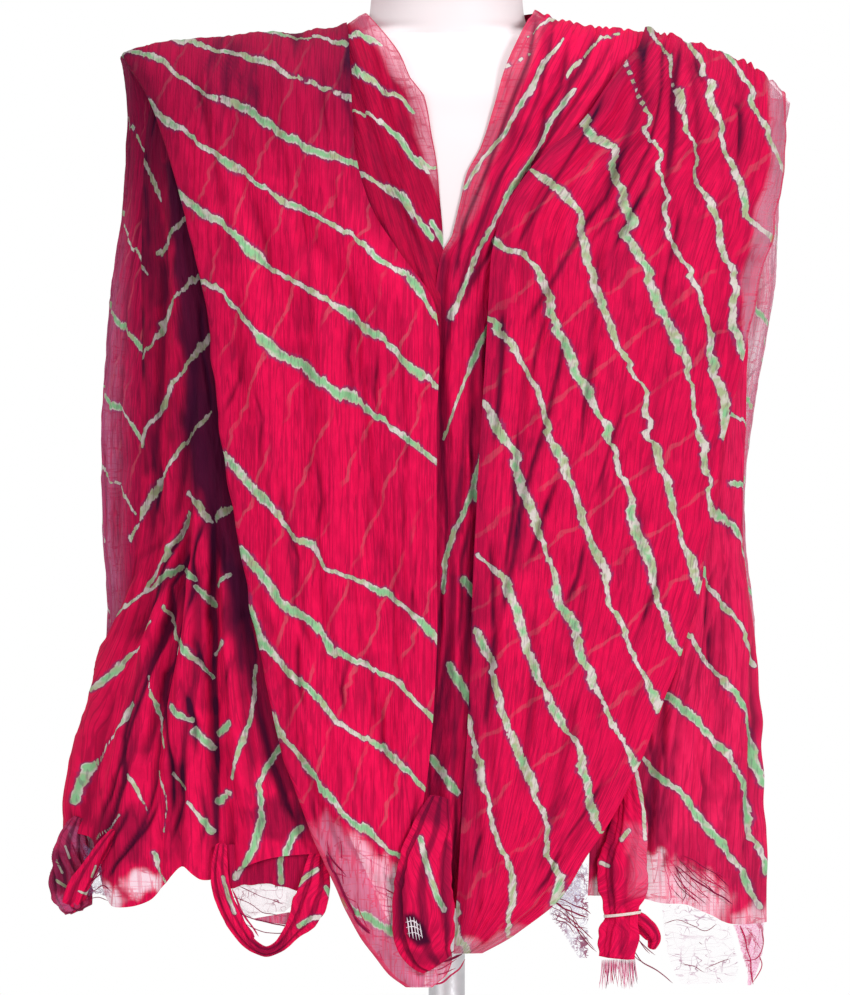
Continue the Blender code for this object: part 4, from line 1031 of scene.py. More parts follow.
def gauze(name, veil, dark, cover, strands, weight=0.9):
    """Worn open silk: a faint veil with threads that wander over it and a frayed edge."""
    tree = Tree(name)
    weave = tree.field("weave", "Vector")
    edge, sheer, line = tree.field("edge"), tree.field("sheer"), tree.field("line")
    threads = tree.strands(weave, strands)
    patchy = tree.step(tree.noise(weave, 0.1, 0.07, 3.0), 0.35, 0.65)
    threads = threads * (0.35 + patchy * 0.65)
    weft = tree.noise(weave, 0.9, 0.9, 2.0)
    veiled = cover + (1.0 - sheer) * tree.step(weft, 0.3, 0.6) * 0.75
    frayed = tree.step(edge + tree.noise(weave, 0.7, 0.3, 2.0) * 3.0, 1.4, 2.8)
    drawn = tree.math("MAXIMUM", threads, tree.step(line, 1.05, 0.8))
    alpha = tree.math("MAXIMUM", veiled, drawn * weight) * frayed
    color = tree.mix(drawn, srgb(*veil), srgb(*dark))
    # Painted shade from the shade field
    color = tree.mix(tree.field("shade"), color, PAINTED_SHADE)
    normal = tree.bump(weft, 0.4, 0.0003)
    return tree.finish(0.1, Base_Color=color, Roughness=0.75, Alpha=alpha, Normal=normal)


def plain(name, low, high, roughness=(0.6, 0.8), metallic=0.0, scale=400.0, relief=0.0002, stretch=(1, 1, 1),
          specular=0.2):
    """A hard surface whose colour and polish vary a little."""
    tree = Tree(name)
    place = tree.stretch(tree.add("ShaderNodeTexCoord", "Object"), *stretch)
    grain = tree.add("ShaderNodeTexNoise", Vector=place, Scale=scale, Detail=3.0)
    rough = tree.span(grain, 0.3, 0.7, *roughness)
    tree.shader.inputs["Metallic"].default_value = metallic
    color = tree.mix(grain, srgb(*low), srgb(*high))
    return tree.finish(specular, Base_Color=color, Roughness=rough, Normal=tree.bump(grain, 0.3, relief))

# ---------------------------------------------------------------- sheets

def front_grid(side, table, columns, top_steps, steps, hem, brim, spread, pull, waves, seed):
    """A front stretch's places along X and up, its rows' heights, shares across and down, and widths."""
    top, bottom = table[0][0], table[-1][0]
    nominal = edge_rows(top, bottom, top_steps, steps)[:, None]
    inner, outer = read(table, nominal, 1), read(table, nominal, 2)
    if spread:
        inner = inner - side * read(spread, nominal, 1)
    if pull:
        outer = outer - side * read(pull, nominal, 1)
    outer = outer + side * waves[0] * noise(nominal / waves[1], 0 * nominal, seed + 50)
    down = (top - nominal) / (top - bottom)
    across = np.linspace(0, 1, columns + 1)[None, :]
    x = mix(inner, outer, across)
    z = nominal + 0 * across
    if top_steps:
        z = z + (ridge_height(x) - top) * np.clip(1 - down / RIDGE_SHARE, 0, None)
    if hem:
        z = z + (read(hem, x, 1) - bottom) * down ** 2
    if brim:
        z = z + (read(brim, x, 1) - HEM_GAP - top) * (1 - down)
    return x, z, nominal, across, down, np.abs(outer - inner)


def with_zones(clear, dim, x, z, zones, seed):
    """Sheerness and painted shade with the zones laid over them, whose outlines are made ragged."""
    ragged_x = x + 3 * noise(x / 4, z / 12, seed + 33)
    ragged_z = z + 5 * noise(x / 5, z / 14, seed + 34)
    for kind, amount, soft, outline in zones:
        part = amount * inside(ragged_x, ragged_z, outline, soft)
        if kind == "sheer":
            clear = np.maximum(clear, part)
        else:
            dim = dim + part * (1 - dim)
    return clear, dim


def with_sheer_edges(clear, x, z, across, width, edge_sheer, seed):
    """Sheerness with that of the sheer edges laid over it."""
    for place, reach, low, high, amount in edge_sheer:
        from_edge = (across if place == "inner" else 1 - across) * width
        reach = reach * smooth(z, low - 30, low + 30) * smooth(z, high + 8, high - 8) + 0.1
        part = smooth((from_edge + 2.5 * noise(z / 14, x / 40, seed + 31)) / reach, 1.15, 0.6)
        clear = np.maximum(clear, amount * part * smooth(reach, 1, 5))
    return clear


def over_ridge(points, values):
    """Adds the rows that go on over the shoulder ridge, with the first row's values."""
    points[..., 1] = np.minimum(points[..., 1], 0)
    over = np.array(RIDGE_OVERLAP)[:, None]
    beyond = np.stack((points[:1, :, 0] + 0 * over, over + 0 * points[:1, :, 0],
                       points[:1, :, 2] - 0.1 - 0.02 * over ** 2), -1)
    grown = [np.concatenate((np.repeat(value[:1], len(over), 0), value)) for value in values]
    return np.concatenate((beyond, points)), grown


def front_sheet(side, table, columns, top_steps, steps, folds, hem=None, brim=None, crinkles=None,
                creases=(), lines=(), zones=(), shade=0.0, sheer=0.0, under=None, edge_sheer=(),
                waves=(0.0, 1.0), flow=None, rolled=False, seed=1, jag=(0.0, 1.8), depth=2.6,
                spread=None, pull=None, ruffle=None, sides=(0.0, 0.0), gloom=0.5, trail=0.0):
    """A stretch that faces the front, from a table of its edges and how far they stand off.

    hem and brim are its bottom and top edges where these aren't level. crinkles are their size and
    tilt, flow the width over which they keep step with its edges, and depth how far they may dip.
    jag is how far they throw the dyed lines off, sideways and up. waves are the size and length of
    its outer edge's waves. spread and pull are tables of how much wider its inner edge and narrower
    its outer edge is than the solid's. ruffle is the height and width of puckers at the shoulder,
    sides the shade at the inner and the outer edge, and gloom how dark the creases are. trail is how
    far its outer edge goes on round the side low down, unevenly. zones are sheer or shaded places:
    kind, amount, softness and outline. edge_sheer says which edge is sheer, how far in, between which
    heights and how much.
    """
    x, z, nominal, across, down, width = front_grid(side, table, columns, top_steps, steps, hem, brim,
                                                    spread, pull, waves, seed)
    lift = mix(read(table, nominal, 3), read(table, nominal, 4), across)
    lift = lift + fold_height(folds, across, down, width)
    size, tilt = crinkles or (1.0, 0.0)
    turn = math.radians(tilt)
    if flow:
        cross, along = across * flow + 0 * z, z
    else:
        cross = x * math.cos(turn) + z * math.sin(turn)
        along = z * math.cos(turn) - x * math.sin(turn)
    border = np.minimum(across, 1 - across) * width + 0 * z
    relief, dark = crease_relief(x, z, creases)
    small = crinkle(cross, along, seed, size)
    relief = np.maximum(small * smooth(border, -1, 6) + relief, -depth)
    if ruffle:
        puckers = np.abs(noise(x / ruffle[1], 0 * x, seed + 60))
        relief = relief + ruffle[0] * puckers * smooth(down, 0.05, 0.0)
    lift = lift + relief
    throw = jag[0] * stagger(along * 0.8, cross, seed + 19) + 0.6 * noise(x / 3, z / 3, seed + 21)
    rise = jag[1] * stagger(cross, along, seed + 9) + 0.9 * stagger(cross * 2.3, along, seed + 10)
    away, green = near(x + throw, z + rise, lines)
    away, green = uneven(away, green, cross, along, seed + 70)
    clear = np.full(x.shape, float(sheer))
    # Painted shade: the shade table, the creases, the crinkles' valleys and the edges that sides names
    dim = (read(shade, z, 1) if isinstance(shade, tuple) else shade) + gloom * dark + 0.35 * valleys(small)
    for from_edge, amount in zip((across * width, (1 - across) * width), sides):
        dim = dim + amount * smooth(from_edge, SIDE_SHADE_WIDTH, 1)
    clear, dim = with_zones(clear, dim, x, z, zones, seed)
    clear = with_sheer_edges(clear, x, z, across, width, edge_sheer, seed)
    slip = trail * smooth(across, 0.9, 1) * (0.5 + 0.5 * noise(z / 19, 0 * x, seed + 80))
    slip = slip * smooth(z, *TRAIL_HEIGHTS)
    faint = 0.5 if under is None else (x * under[0] + z * under[1]) / under[2]
    values = [x, z, lift, slip, cross, away, green, clear, dim, border + 0 * x, faint + 0 * x]
    if rolled:
        values = roll_back(values, side, np.minimum(TUCK_WIDTH, TUCK_SHARE * width))
    x, z, lift, slip, *values = values
    points = on_front(x, z, lift, slip)
    values = [z, *values]
    if top_steps:
        points, values = over_ridge(points, values)
    z, cross, away, green, clear, dim, border, faint = values
    return patch(points, cross, z, line=away, green=green, under=faint, sheer=clear, shade=dim, edge=border,
                 flip=side < 0)


def roll_back(values, side, tuck):
    """Adds the columns that turn back under a panel's outer edge."""
    x, z, lift = (value[:, -1:] for value in values[:3])
    turn = math.pi * np.arange(1, ROLL_STEPS + 1)[None, :] / ROLL_STEPS
    inward = side * tuck * np.arange(1, TUCK_STEPS + 1)[None, :] / TUCK_STEPS
    inward = inward + 0 * x
    extra = [
        (x + 0 * turn, x - inward),
        (z + 0 * turn, z + 0 * inward),
        (lift - ROLL_RADIUS * (1 - np.cos(turn)), lift - 2 * ROLL_RADIUS + 0 * inward),
        (0 * x + ROLL_RADIUS * np.sin(turn), 0 * inward),
    ]
    made = [np.concatenate((value, *more), 1) for value, more in zip(values[:4], extra)]
    step = 1.3 * np.arange(1, ROLL_STEPS + TUCK_STEPS + 1)[None, :]
    for index, value in enumerate(values[4:], 4):
        last = value[:, -1:]
        more = last + (step if index == 4 else 0 * step)
        made.append(np.concatenate((value, more), 1))
    return made


def wrap_sheet(side, table, columns, top_steps, steps, folds, lines, seed, shade, sheer, facing, creases):
    """A stretch that goes round a side, from the shoulder ridge down. It is tucked under the back.

    facing says how far out its sheerness sets in and where it is full.
    """
    top, bottom = table[0][0], table[-1][0]
    nominal = edge_rows(top, bottom, top_steps, steps)[:, None]
    down = (top - nominal) / (top - bottom)
    front, back = np.radians(read(table, nominal, 1)), np.radians(read(table, nominal, 2))
    front = front - math.radians(1) * read(SIDE_CLOSING, top - nominal, 1)
    across = np.linspace(0, 1, columns + 1)[None, :]
    tuck = smooth(across, TUCK_START, 1.0)
    angle = mix(front, back, across) + math.radians(TUCK_ANGLE) * tuck
    lift = mix(read(table, nominal, 3), read(table, nominal, 4), np.minimum(1, across * 2))
    lift = lift * (1 - 0.6 * smooth(across, 0.8, 1.0))
    lift = lift + fold_height(folds, across, down, (back - front) * SIDE_SPAN)
    lift = mix(lift, np.minimum(lift, TUCK_LIFT), tuck)
    x = side * half_width(side, nominal) * np.sin(angle)
    z = nominal + (ridge_height(x) - top) * np.clip(1 - down / RIDGE_SHARE, 0, None)
    cross = angle * SIDE_SPAN
    border = np.minimum(across, 1 - across) * (back - front) * SIDE_SPAN + 0 * z
    small = crinkle(cross, z, seed, 1.1)
    relief, dark = crease_relief(cross + 0 * z, z, creases)
    points = drape(angle, z, side, lift + (small + relief) * smooth(border, -1, 6))
    behind = np.where(angle > math.pi / 2, np.maximum(points[..., 1], CORNER_SEAM), points[..., 1])
    points[..., 1] = behind
    away, green = near(cross, z + 1.8 * stagger(cross, z, seed + 9), lines)
    away, green = uneven(away, green, cross, z, seed + 70)
    # Painted shade from the table, the crinkles' valleys and the creases
    shade = read(shade, z, 1) + 0.25 * valleys(small) + 0.7 * dark
    faint = (cross * 0.9 + z * 0.4) / 30
    hem_clear = smooth(z + 9 * noise(cross / 13, z / 30, seed + 4), bottom + 22, bottom + 4) * 0.85
    outward = smooth(np.abs(points[..., 0]), *facing) * (1 - 0.85 * smooth(angle, *WRAP_BACK_ANGLES))
    clear = np.maximum(sheer * outward * (0.8 + 0.35 * noise(cross / 9, z / 40, seed + 3)), hem_clear)
    return patch(points, cross, z, line=away, green=green, under=faint, sheer=np.clip(clear, 0, 1),
                 shade=shade, edge=border, flip=side < 0)


def back_sheet(columns, top_steps, steps, lines, creases, seed):
    """The fall down the back, with its top edge round the neck."""
    first = math.radians(BACK_EDGE_ANGLE + BACK_SEAM_ANGLE)
    across = np.linspace(0, 1, columns + 1)[None, :]
    turn = mix(first, 2 * math.pi - first, across)
    side = np.where(turn < math.pi, -1.0, 1.0)
    angle = np.where(turn < math.pi, turn, 2 * math.pi - turn)
    x = side * half_width(side, BACK_MEASURE_HEIGHT + 0 * turn) * np.sin(angle)
    top = ridge_height(x)
    depth = half_size("back", top - SHOULDER_ROUND)
    neck = NECK_RADIUS + NECK_CLEARANCE
    start = np.where(np.abs(x) < neck, np.sqrt(np.maximum(neck ** 2 - x ** 2, 0)), 0.0)
    first_turn = np.arcsin(np.minimum(start / depth, 1))
    index = np.arange(top_steps + steps + 1)[:, None]
    down = index / (top_steps + steps)
    part = np.minimum(index / top_steps, 1)
    over = mix(first_turn, math.pi / 2, part)
    z_top = top - SHOULDER_ROUND * (1 - np.cos(over))
    z_top = z_top + SHOULDER_ROUND * (1 - np.cos(first_turn)) * (1 - part)
    waves = sum(height * np.sin(turns * across) for turns, height in BACK_HEM_WAVES)
    z_low = mix(top - SHOULDER_ROUND, BACK_BOTTOM + waves, np.clip((index - top_steps) / steps, 0, 1))
    z = np.where(index < top_steps, z_top, z_low)
    lift = fold_height(FOLDS_BACK, across, down, BACK_WIDTH)
    cross = across * BACK_WIDTH + 0 * z
    relief, dark = crease_relief(x + 0 * z, z, creases)
    small = crinkle(cross, z, seed, 1.15)
    border = np.minimum(across, 1 - across) * BACK_WIDTH + 0 * z
    lift = lift + (small * (0.3 + 0.7 * part) + relief * part) * smooth(border, -1, 8)
    lift = lift - 2.8 * smooth(np.abs(x), 56, 66) * (1 - part) ** 2
    points = drape(angle + 0 * z, z, side + 0 * z, lift)
    arc = np.stack((
        x + 0 * z,
        np.maximum(start, -np.cos(angle) * depth * np.sin(over)) + np.sin(over) * lift,
        z + np.cos(over) * lift,
    ), -1)
    points = np.where((index < top_steps)[..., None], arc, points)
    away, green = near(x + 0 * z, z + 1.8 * stagger(cross, z, seed + 9), lines)
    away, green = uneven(away, green, cross, z, seed + 70)
    faint = (x * 0.93 + z * 0.37) / 27
    clear = 0.8 * smooth(z + 11 * noise(cross / 16, z / 40, 77), BACK_BOTTOM + 26, BACK_BOTTOM + 4)
    # Painted shade: a little all over, more in the creases and the crinkles' valleys, and on top of the left
    # shoulder, to meet the front panel's
    dim = 0.06 + 0.95 * dark + 0.28 * valleys(small) + 0.5 * smooth(-x, 40, 130) * smooth(z, 590, 690)
    return patch(points, cross, z, line=away, green=green, under=faint, sheer=clear, shade=dim,
                 edge=border, flip=True)


def hanging_creases(rows):
    """Creases that hang down: height, half width, place across, how far they lean, top and bottom."""
    return [
        (rise, half, [(x + lean * part + 3 * math.sin(7 * part + x), mix(high, low, part))
                      for part in np.linspace(0, 1, 9)])
        for rise, half, x, lean, high, low in rows
    ]


def slanted_lines(x_low, x_high, levels, slope, half, seed):
    """Tied lines that run on a slant from their heights at x_low, none quite like the next."""
    rng = np.random.default_rng(seed)
    lines = []
    for level in levels:
        points = [(x, level + slope * (x - x_low) + rng.uniform(-3.0, 3.0))
                  for x in np.linspace(x_low, x_high, 12)]
        lines.append((half * rng.uniform(0.8, 1.15), 0.5 * rng.uniform(0.5, 1.4), points))
    return lines


def line_length(points):
    """How far along a line each of its points lies."""
    return np.concatenate(([0], np.cumsum(np.hypot(*np.diff(points, axis=0).T))))


def web_sheet(left, right, columns, rows, lift, seed, slot, sheer=0.9, lines=(), sag=3.0, shade=0.0):
    """A thin piece stretched between two edges, each a run of places along X and up."""
    at = np.linspace(0, 1, rows + 1)
    sides = []
    for points in (places(left), places(right)):
        length = line_length(points)
        length /= length[-1]
        sides.append([np.interp(at, length, points[:, axis])[:, None] for axis in (0, 1)])
    across = np.linspace(0, 1, columns + 1)[None, :]
    x = mix(sides[0][0], sides[1][0], across)
    z = mix(sides[0][1], sides[1][1], across)
    z = z + sag * at[:, None] ** 3 * (4 * across * (1 - across) - 0.4 * noise(x / 6, z / 9, seed))
    out = lift + 0.8 * noise(x / 9, z / 12, seed + 1) + 0.4 * noise(x / 3, z / 9, seed + 2)
    away, green = near(x, z, lines)
    width = np.abs(sides[1][0] - sides[0][0])
    edge = np.minimum(np.minimum(across, 1 - across) * width, (1 - at[:, None]) * 30 + 0 * x)
    return patch(on_front(x, z, out), x, z, line=away, green=green, sheer=sheer, shade=shade, edge=edge,
                 slot=slot)


def along_line(points, step):
    """Points close together along a line, smoothed round its corners."""
    points = np.array(points, float)
    length = line_length(points)
    count = max(int(length[-1] / step), 2)
    at = np.linspace(0, length[-1], count + 1)
    rows = [(a, *p) for a, p in zip(length, points)]
    return np.stack([read(rows, at, column) for column in range(1, points.shape[1] + 1)], -1)


def thread(points, width, lift, seed, slot=1, wander=0.6, rise=0.5):
    """A flat strand that lies on the front: points along X and up, with a small arch."""
    middle = along_line(points, THREAD_STEP)
    count = np.arange(len(middle))
    off = (noise(count / 5, count * 0 + seed, seed), noise(count / 5, count * 0, seed + 1))
    middle = middle + wander * np.stack(off, -1)
    ahead = np.gradient(middle, axis=0)
    ahead /= np.maximum(np.hypot(*ahead.T), TINY)[:, None]
    aside = np.stack((-ahead[:, 1], ahead[:, 0]), -1)
    size = width / 2 * (1 + 0.35 * noise(count / 6, count * 0 + 3, seed + 2))
    size = size * np.minimum(1, np.minimum(count, count[::-1]) / 3 + 0.25)
    offsets = np.array((-1, 0, 1.0))
    spots = middle[:, None] + aside[:, None] * (offsets[None, :, None] * size[:, None, None])
    if isinstance(lift, tuple):
        lift = read(lift, spots[..., 1], 1)
    arch = lift + rise * (1 - offsets[None, :] ** 2) + 0 * size[:, None]
    points = on_front(spots[..., 0], spots[..., 1], arch)
    cross = offsets[None, :] * size[:, None]
    return patch(points, cross, THREAD_STEP * count[:, None], slot=slot)


def threads(text, lift, seed, **more):
    """Strands from rows of text: each one's width, its slot and its places."""
    return [thread(line, width, lift, seed + number, slot=int(slot), **more)
            for number, (width, slot, line) in enumerate(courses(text))]


def bunch_frame(table, steps):
    """Middles, directions and half sizes along a bunched length of cloth."""
    rows = [(index, *row) for index, row in enumerate(table)]
    place = (len(table) - 1) * np.arange(steps + 1) / steps
    x, z, lift, half_wide, half_deep = (read(rows, place, column) for column in range(1, 6))
    middle = on_front(x, z, lift)
    ahead = np.concatenate((middle[1:2] - middle[:1], middle[2:] - middle[:-2], middle[-1:] - middle[-2:-1]))
    across = np.cross((0, 1, 0), ahead)
    across /= np.linalg.norm(across, axis=1)[:, None]
    outward = np.cross(ahead, across)
    outward /= np.linalg.norm(outward, axis=1)[:, None]
    length = np.concatenate(([0], np.cumsum(np.linalg.norm(np.diff(middle, axis=0), axis=1))))
    return middle, across, outward, half_wide, half_deep, length


def bunch(table, steps, count, seed, ridges, depth, twist, wander, lines=(), shade=0.0, sheer=0.0,
          ends="both", veil=(), dark=(), slot=0, groove_shade=0.55):
    """A bunched length: cloth folded round on itself, whose bands and grooves run along it and wander.

    Its two edges meet at the back. ends says whether both ends are closed, or only the low one.
    """
    middle, across, outward, half_wide, half_deep, length = bunch_frame(table, steps)
    turn = math.pi / 2 + 2 * math.pi * np.arange(count + 1)[None, :] / count
    along = length[:, None]
    lean = turn + twist * along / 40 + 0.5 * wander * noise(along / 22, 0 * along, seed)
    bands = np.cos(ridges * lean + 1.1 * wander * noise(along / 16, np.cos(turn) * 2, seed + 1))
    small = np.cos((2 * ridges + 3) * lean + 2 * wander * noise(along / 9, np.cos(turn) * 3, seed + 2))
    sharp = 1 - 2 * np.abs(bands) ** 0.7
    size = 1 + depth * (0.75 * bands - 0.25 * sharp) + 0.35 * depth * small
    size = size + 0.25 * depth * noise(along / 5, np.cos(turn) * 4, seed + 3)
    from_end = np.minimum(np.arange(steps + 1) + (20 if ends == "low" else 0), np.arange(steps, -1, -1))
    size = size * np.minimum(1, from_end / 2 + 0.55)[:, None]
    points = (
        middle[:, None]
        + across[:, None] * (half_wide[:, None] * size * np.cos(turn))[..., None]
        + outward[:, None] * (half_deep[:, None] * size * np.sin(turn))[..., None]
    )
    groove = smooth(bands, 0.1, -0.9)
    x, z = points[..., 0], points[..., 2]
    away, green = near(x, z, lines)
    clear = np.full(x.shape, float(sheer))
    for amount, soft, outline in veil:
        clear = np.maximum(clear, amount * inside(x + 2 * noise(x / 3, z / 9, seed + 5), z, outline, soft))
    # Painted shade: some all over, more in the grooves, and more again inside the outlines that dark gives
    gloom = shade + groove_shade * groove
    for amount, soft, outline in dark:
        gloom = gloom + amount * inside(x, z, outline, soft) * (1 - gloom)
    cross = turn * half_wide[:, None]
    tube = patch(points[:, ::-1], cross[:, ::-1], along, line=away[:, ::-1], green=green[:, ::-1],
                 sheer=clear[:, ::-1], shade=gloom[:, ::-1], slot=slot)
    caps = []
    for ring, order in ((points[0], -1), (points[-1], 1)):
        if order < 0 and ends == "low":
            continue
        hub = ring.mean(0)
        inner = np.stack((ring, mix(hub, ring, 0.5), mix(hub, ring, 0.02)))[::order]
        # The closed ends get painted shade
        caps.append(patch(inner[:, ::-1], 0.0, 0.0, shade=0.6, slot=slot))
    return [tube, *caps]


def lathe(name, profile, material, count=96, **more):
    """A turned body: its profile's radii and heights from the top down."""
    turn = 2 * math.pi * np.arange(count)[None, :] / count
    radius, height = (column[:, None] for column in places(profile).T)
    points = np.stack((radius * np.cos(turn), radius * np.sin(turn), height + 0 * turn), -1)
    return build(name, [patch(points, 0.0, 0.0, ring=True, **more)], [material])


def form_sheet(columns, steps):
    """The dress form's body, on the same rings as its solid with finer rows."""
    heights = np.array(sorted(row[0] for row in FORM), float)[::-1]
    place = np.interp(np.arange(steps + 1) / steps * (len(heights) - 1), np.arange(len(heights)), heights)
    filled = [
        (z, half, front or float(half_size("front", z)) - FORM_GAP, back, square)
        for z, half, front, back, square in FORM
    ]
    half, front, back, square = (read(filled, place, column)[:, None] for column in range(1, 5))
    turn = 2 * math.pi * np.arange(columns)[None, :] / columns
    across, along = np.cos(turn), np.sin(turn)
    depth = np.where(along > 0, back, front)
    points = np.stack((
        half * np.sign(across) * np.abs(across) ** (2 / square),
        depth * np.sign(along) * np.abs(along) ** (2 / square),
        place[:, None] + 0 * turn,
    ), -1)
    top, bottom = points[:1], points[-1:]
    hub_top, hub_bottom = top.mean(1, keepdims=True), bottom.mean(1, keepdims=True)
    points = np.concatenate((
        mix(hub_top, top, 0.02), mix(hub_top, top, 0.9), points,
        mix(hub_bottom, bottom, 0.9), mix(hub_bottom, bottom, 0.02),
    ))
    return patch(points, 0.0, 0.0, ring=True)

# ---------------------------------------------------------------- the pieces

bright_silk = silk("crimson_silk", (240, 16, 82), (220, 10, 74), (255, 158, 196), 0.34)
right_silk = silk("right_silk", (236, 16, 80), (212, 12, 74), (250, 176, 204), 0.6, under=0.4)
side_silk = silk("side_silk", (240, 16, 82), (216, 12, 74), (250, 168, 204), 0.6)
# A paler, pinker copy of the crimson silk, as painted light on the right side fall, which faces the key
# light
lit_rose_silk = silk("lit_rose_silk", (240, 34, 92), (222, 24, 82), (248, 162, 196), 0.55)
# A darker copy of the crimson silk, as painted shade on the neck fold
shaded_neck_silk = silk("shaded_neck_silk", (200, 10, 64), (178, 8, 58), (236, 120, 152), 0.45)
back_silk = silk("back_silk", (226, 12, 68), (202, 8, 62), (252, 186, 212), 0.5)
# A darker, purpler copy of the crimson silk, as painted shade on the left side, which faces away from the
# key light, and on shaded places of the hem
shaded_plum_silk = silk("shaded_plum_silk", (210, 18, 80), (172, 16, 70), (228, 118, 172), 0.34)
pale_silk = silk("pale_silk", (238, 54, 108), (218, 30, 88), (255, 188, 212), 0.56)
hem_gauze = gauze("hem_gauze", (240, 214, 230), (150, 70, 120), 0.05,
                  ((0.035, 0.11, 0.01), (0.09, 0.05, 0.009), (0.05, 0.16, 0.008)), 0.7)
blue_gauze = gauze("blue_gauze", (158, 148, 196), (130, 24, 80), 0.04,
                   ((0.1, 0.12, 0.03), (0.22, 0.16, 0.035), (0.3, 0.3, 0.03)))
rose_gauze = gauze("rose_gauze", (238, 172, 204), (190, 40, 96), 0.42,
                   ((0.14, 0.05, 0.02), (0.06, 0.12, 0.02)))
web_gauze = gauze("web_gauze", (246, 222, 232), (150, 40, 86), 0.3,
                  ((0.06, 0.13, 0.014), (0.13, 0.08, 0.012)))
thread_silk = plain("dark_thread", (160, 18, 70), (84, 12, 50), specular=0.1)
rose_thread = plain("rose_thread", (206, 30, 84), (160, 24, 76), specular=0.1)

# Which way the lower layer's lines follow each other, as shares of X and up, and how far apart they are
UNDER_LEFT = (0.927, -0.375, 27)
UNDER_RIGHT = (-0.64, 0.768, 36)
# Lines that start further out than this go on round the side, and those above this height are paler
OUTER = -209
PALE_ABOVE = 340

# Height, and how much wider a stretch's inner edge is than its solid's, in millimetres
CENTRE_SPREAD = ((720, 0), (560, 0), (546, 4), (470, 5), (455, 7), (100, 7))
# Height, and how much narrower the left panel's outer edge is
PANEL_PULL = ((700, 0), (660, 2), (600, 4.5), (540, 5.5), (400, 5.5), (320, 5), (260, 3), (200, 0), (40, 0))
# Height, and how far the loose threads lie off the drape
THREAD_LIFT = ((170, 12.4), (150, 11.8), (120, 11.0), (96, 9.8), (74, 8.0), (60, 7.0), (48, 6.6))

# ---- the stretches that fall in front

panel_left = build("front_panel_left_cloth", [
    front_sheet(
        -1, FRONT_PANEL_LEFT, 150, 22, 420, FOLDS_PANEL_LEFT, crinkles=(1.15, 0),
        creases=CREASES_PANEL_LEFT + FURROWS_PANEL_LEFT, jag=(0.6, 2.0),
        lines=longer(LINES_PANEL_LEFT, 5), under=UNDER_LEFT, rolled=True, seed=11, waves=(0.9, 17),
        shade=((40, 0), (520, 0), (600, 0.2), (660, 0.52), (720, 0.58)), sides=(0.1, 0.2), ruffle=(1.2, 8),
        pull=PANEL_PULL,
        zones=courses("""
            sheer 0.74 9: -79,166 -66,154 -52,146 -40,138 -33,128 -31,108 -29,92 -34,70 -60,70 -92,104
                -100,150
            sheer 0.85 7: -62,84 -36,78 -6,72 16,78 30,60 10,30 -50,30
            shade 0.75 7: -42,128 -35,122 -29,104 -31,84 -37,88 -35,106 -40,118
            shade 0.3 9: -24,170 -8,170 -8,120 -20,120
        """),
    ),
    *threads(THREADS_FRONT, THREAD_LIFT, 40),
    *threads("""
        0.9 2: -79,150 -77,134 -71,118 -64,103 -52,90 -38,80 -30,76
        0.8 2: -74,128 -58,122 -44,118 -32,114
        0.7 2: -68,112 -54,106 -42,103 -31,101
        0.7 2: -60,148 -62,130 -60,110 -54,92
        0.6 2: -40,136 -41,118 -38,98 -39,84
        0.8 2: -46,76 -34,70 -18,68 -2,72 8,78
        0.6 2: -36,66 -22,60 -6,59 6,64
    """, THREAD_LIFT, 60),
], [bright_silk, thread_silk, rose_thread])

panel_right = build("front_panel_right_cloth", [
    front_sheet(
        1, FRONT_PANEL_RIGHT, 150, 22, 400, FOLDS_PANEL_RIGHT, flow=150,
        creases=CREASES_PANEL_RIGHT + FURROWS_PANEL_RIGHT,
        crinkles=(1.15, 0),
        lines=[(half, green - 0.4, line) for half, green, line in longer(LINES_PANEL_RIGHT, 5)],
        under=UNDER_RIGHT, rolled=True, seed=12,
        waves=(0.9, 19), ruffle=(3.4, 5), jag=(2.6, 1.2), sides=(0.35, 0.0), gloom=0.75,
        shade=((60, 0.0), (560, 0.0), (640, 0.12), (705, 0.16)),
        edge_sheer=(("outer", 12, 500, 690, 0.9),),
        zones=courses("sheer 0.5 6: 0,84 20,80 48,92 74,106 80,96 30,66 0,66"),
    ),
], [right_silk])

neck_fold = build("neck_fold_left_cloth", [
    front_sheet(
        -1, NECK_FOLD_LEFT, 60, 16, 220, FOLDS_NECK_LEFT, crinkles=(0.9, 17), creases=CREASES_NECK,
        lines=longer(LINES_NECK_LEFT, 3), seed=13, shade=0.08, waves=(0.0, 20), depth=1.2,
        edge_sheer=(("inner", 13, 600, 716, 0.95),),
        zones=courses("shade 0.4 12: -80,640 -66,650 -56,600 -34,540 -34,500 -80,560"),
    ),
], [shaded_neck_silk])

centre = build("centre_fall_cloth", [
    front_sheet(
        1, CENTRE_FALL, 80, 20, 400, FOLDS_CENTRE, flow=52, creases=CREASES_CENTRE + FURROWS_CENTRE,
        lines=longer(LINES_CENTRE, 2), seed=14, shade=0.0, depth=1.2, spread=CENTRE_SPREAD, gloom=0.75,
        ruffle=(2.4, 5), edge_sheer=(("inner", 16, 560, 712, 0.2),),
        zones=courses("""
            shade 0.14 10: 0,712 60,712 44,640 20,560 -6,480 -6,600
            shade 0.32 7: -16,560 -1,540 0,420 -4,300 -4,200 -16,150 -22,200
            shade 0.5 7: 20,500 26,500 24,380 20,300 16,200 12,120 4,120 10,220
            shade 0.45 7: 2,330 7,330 3,240 -3,150 -9,150 -4,240
        """),
    ),
], [right_silk])

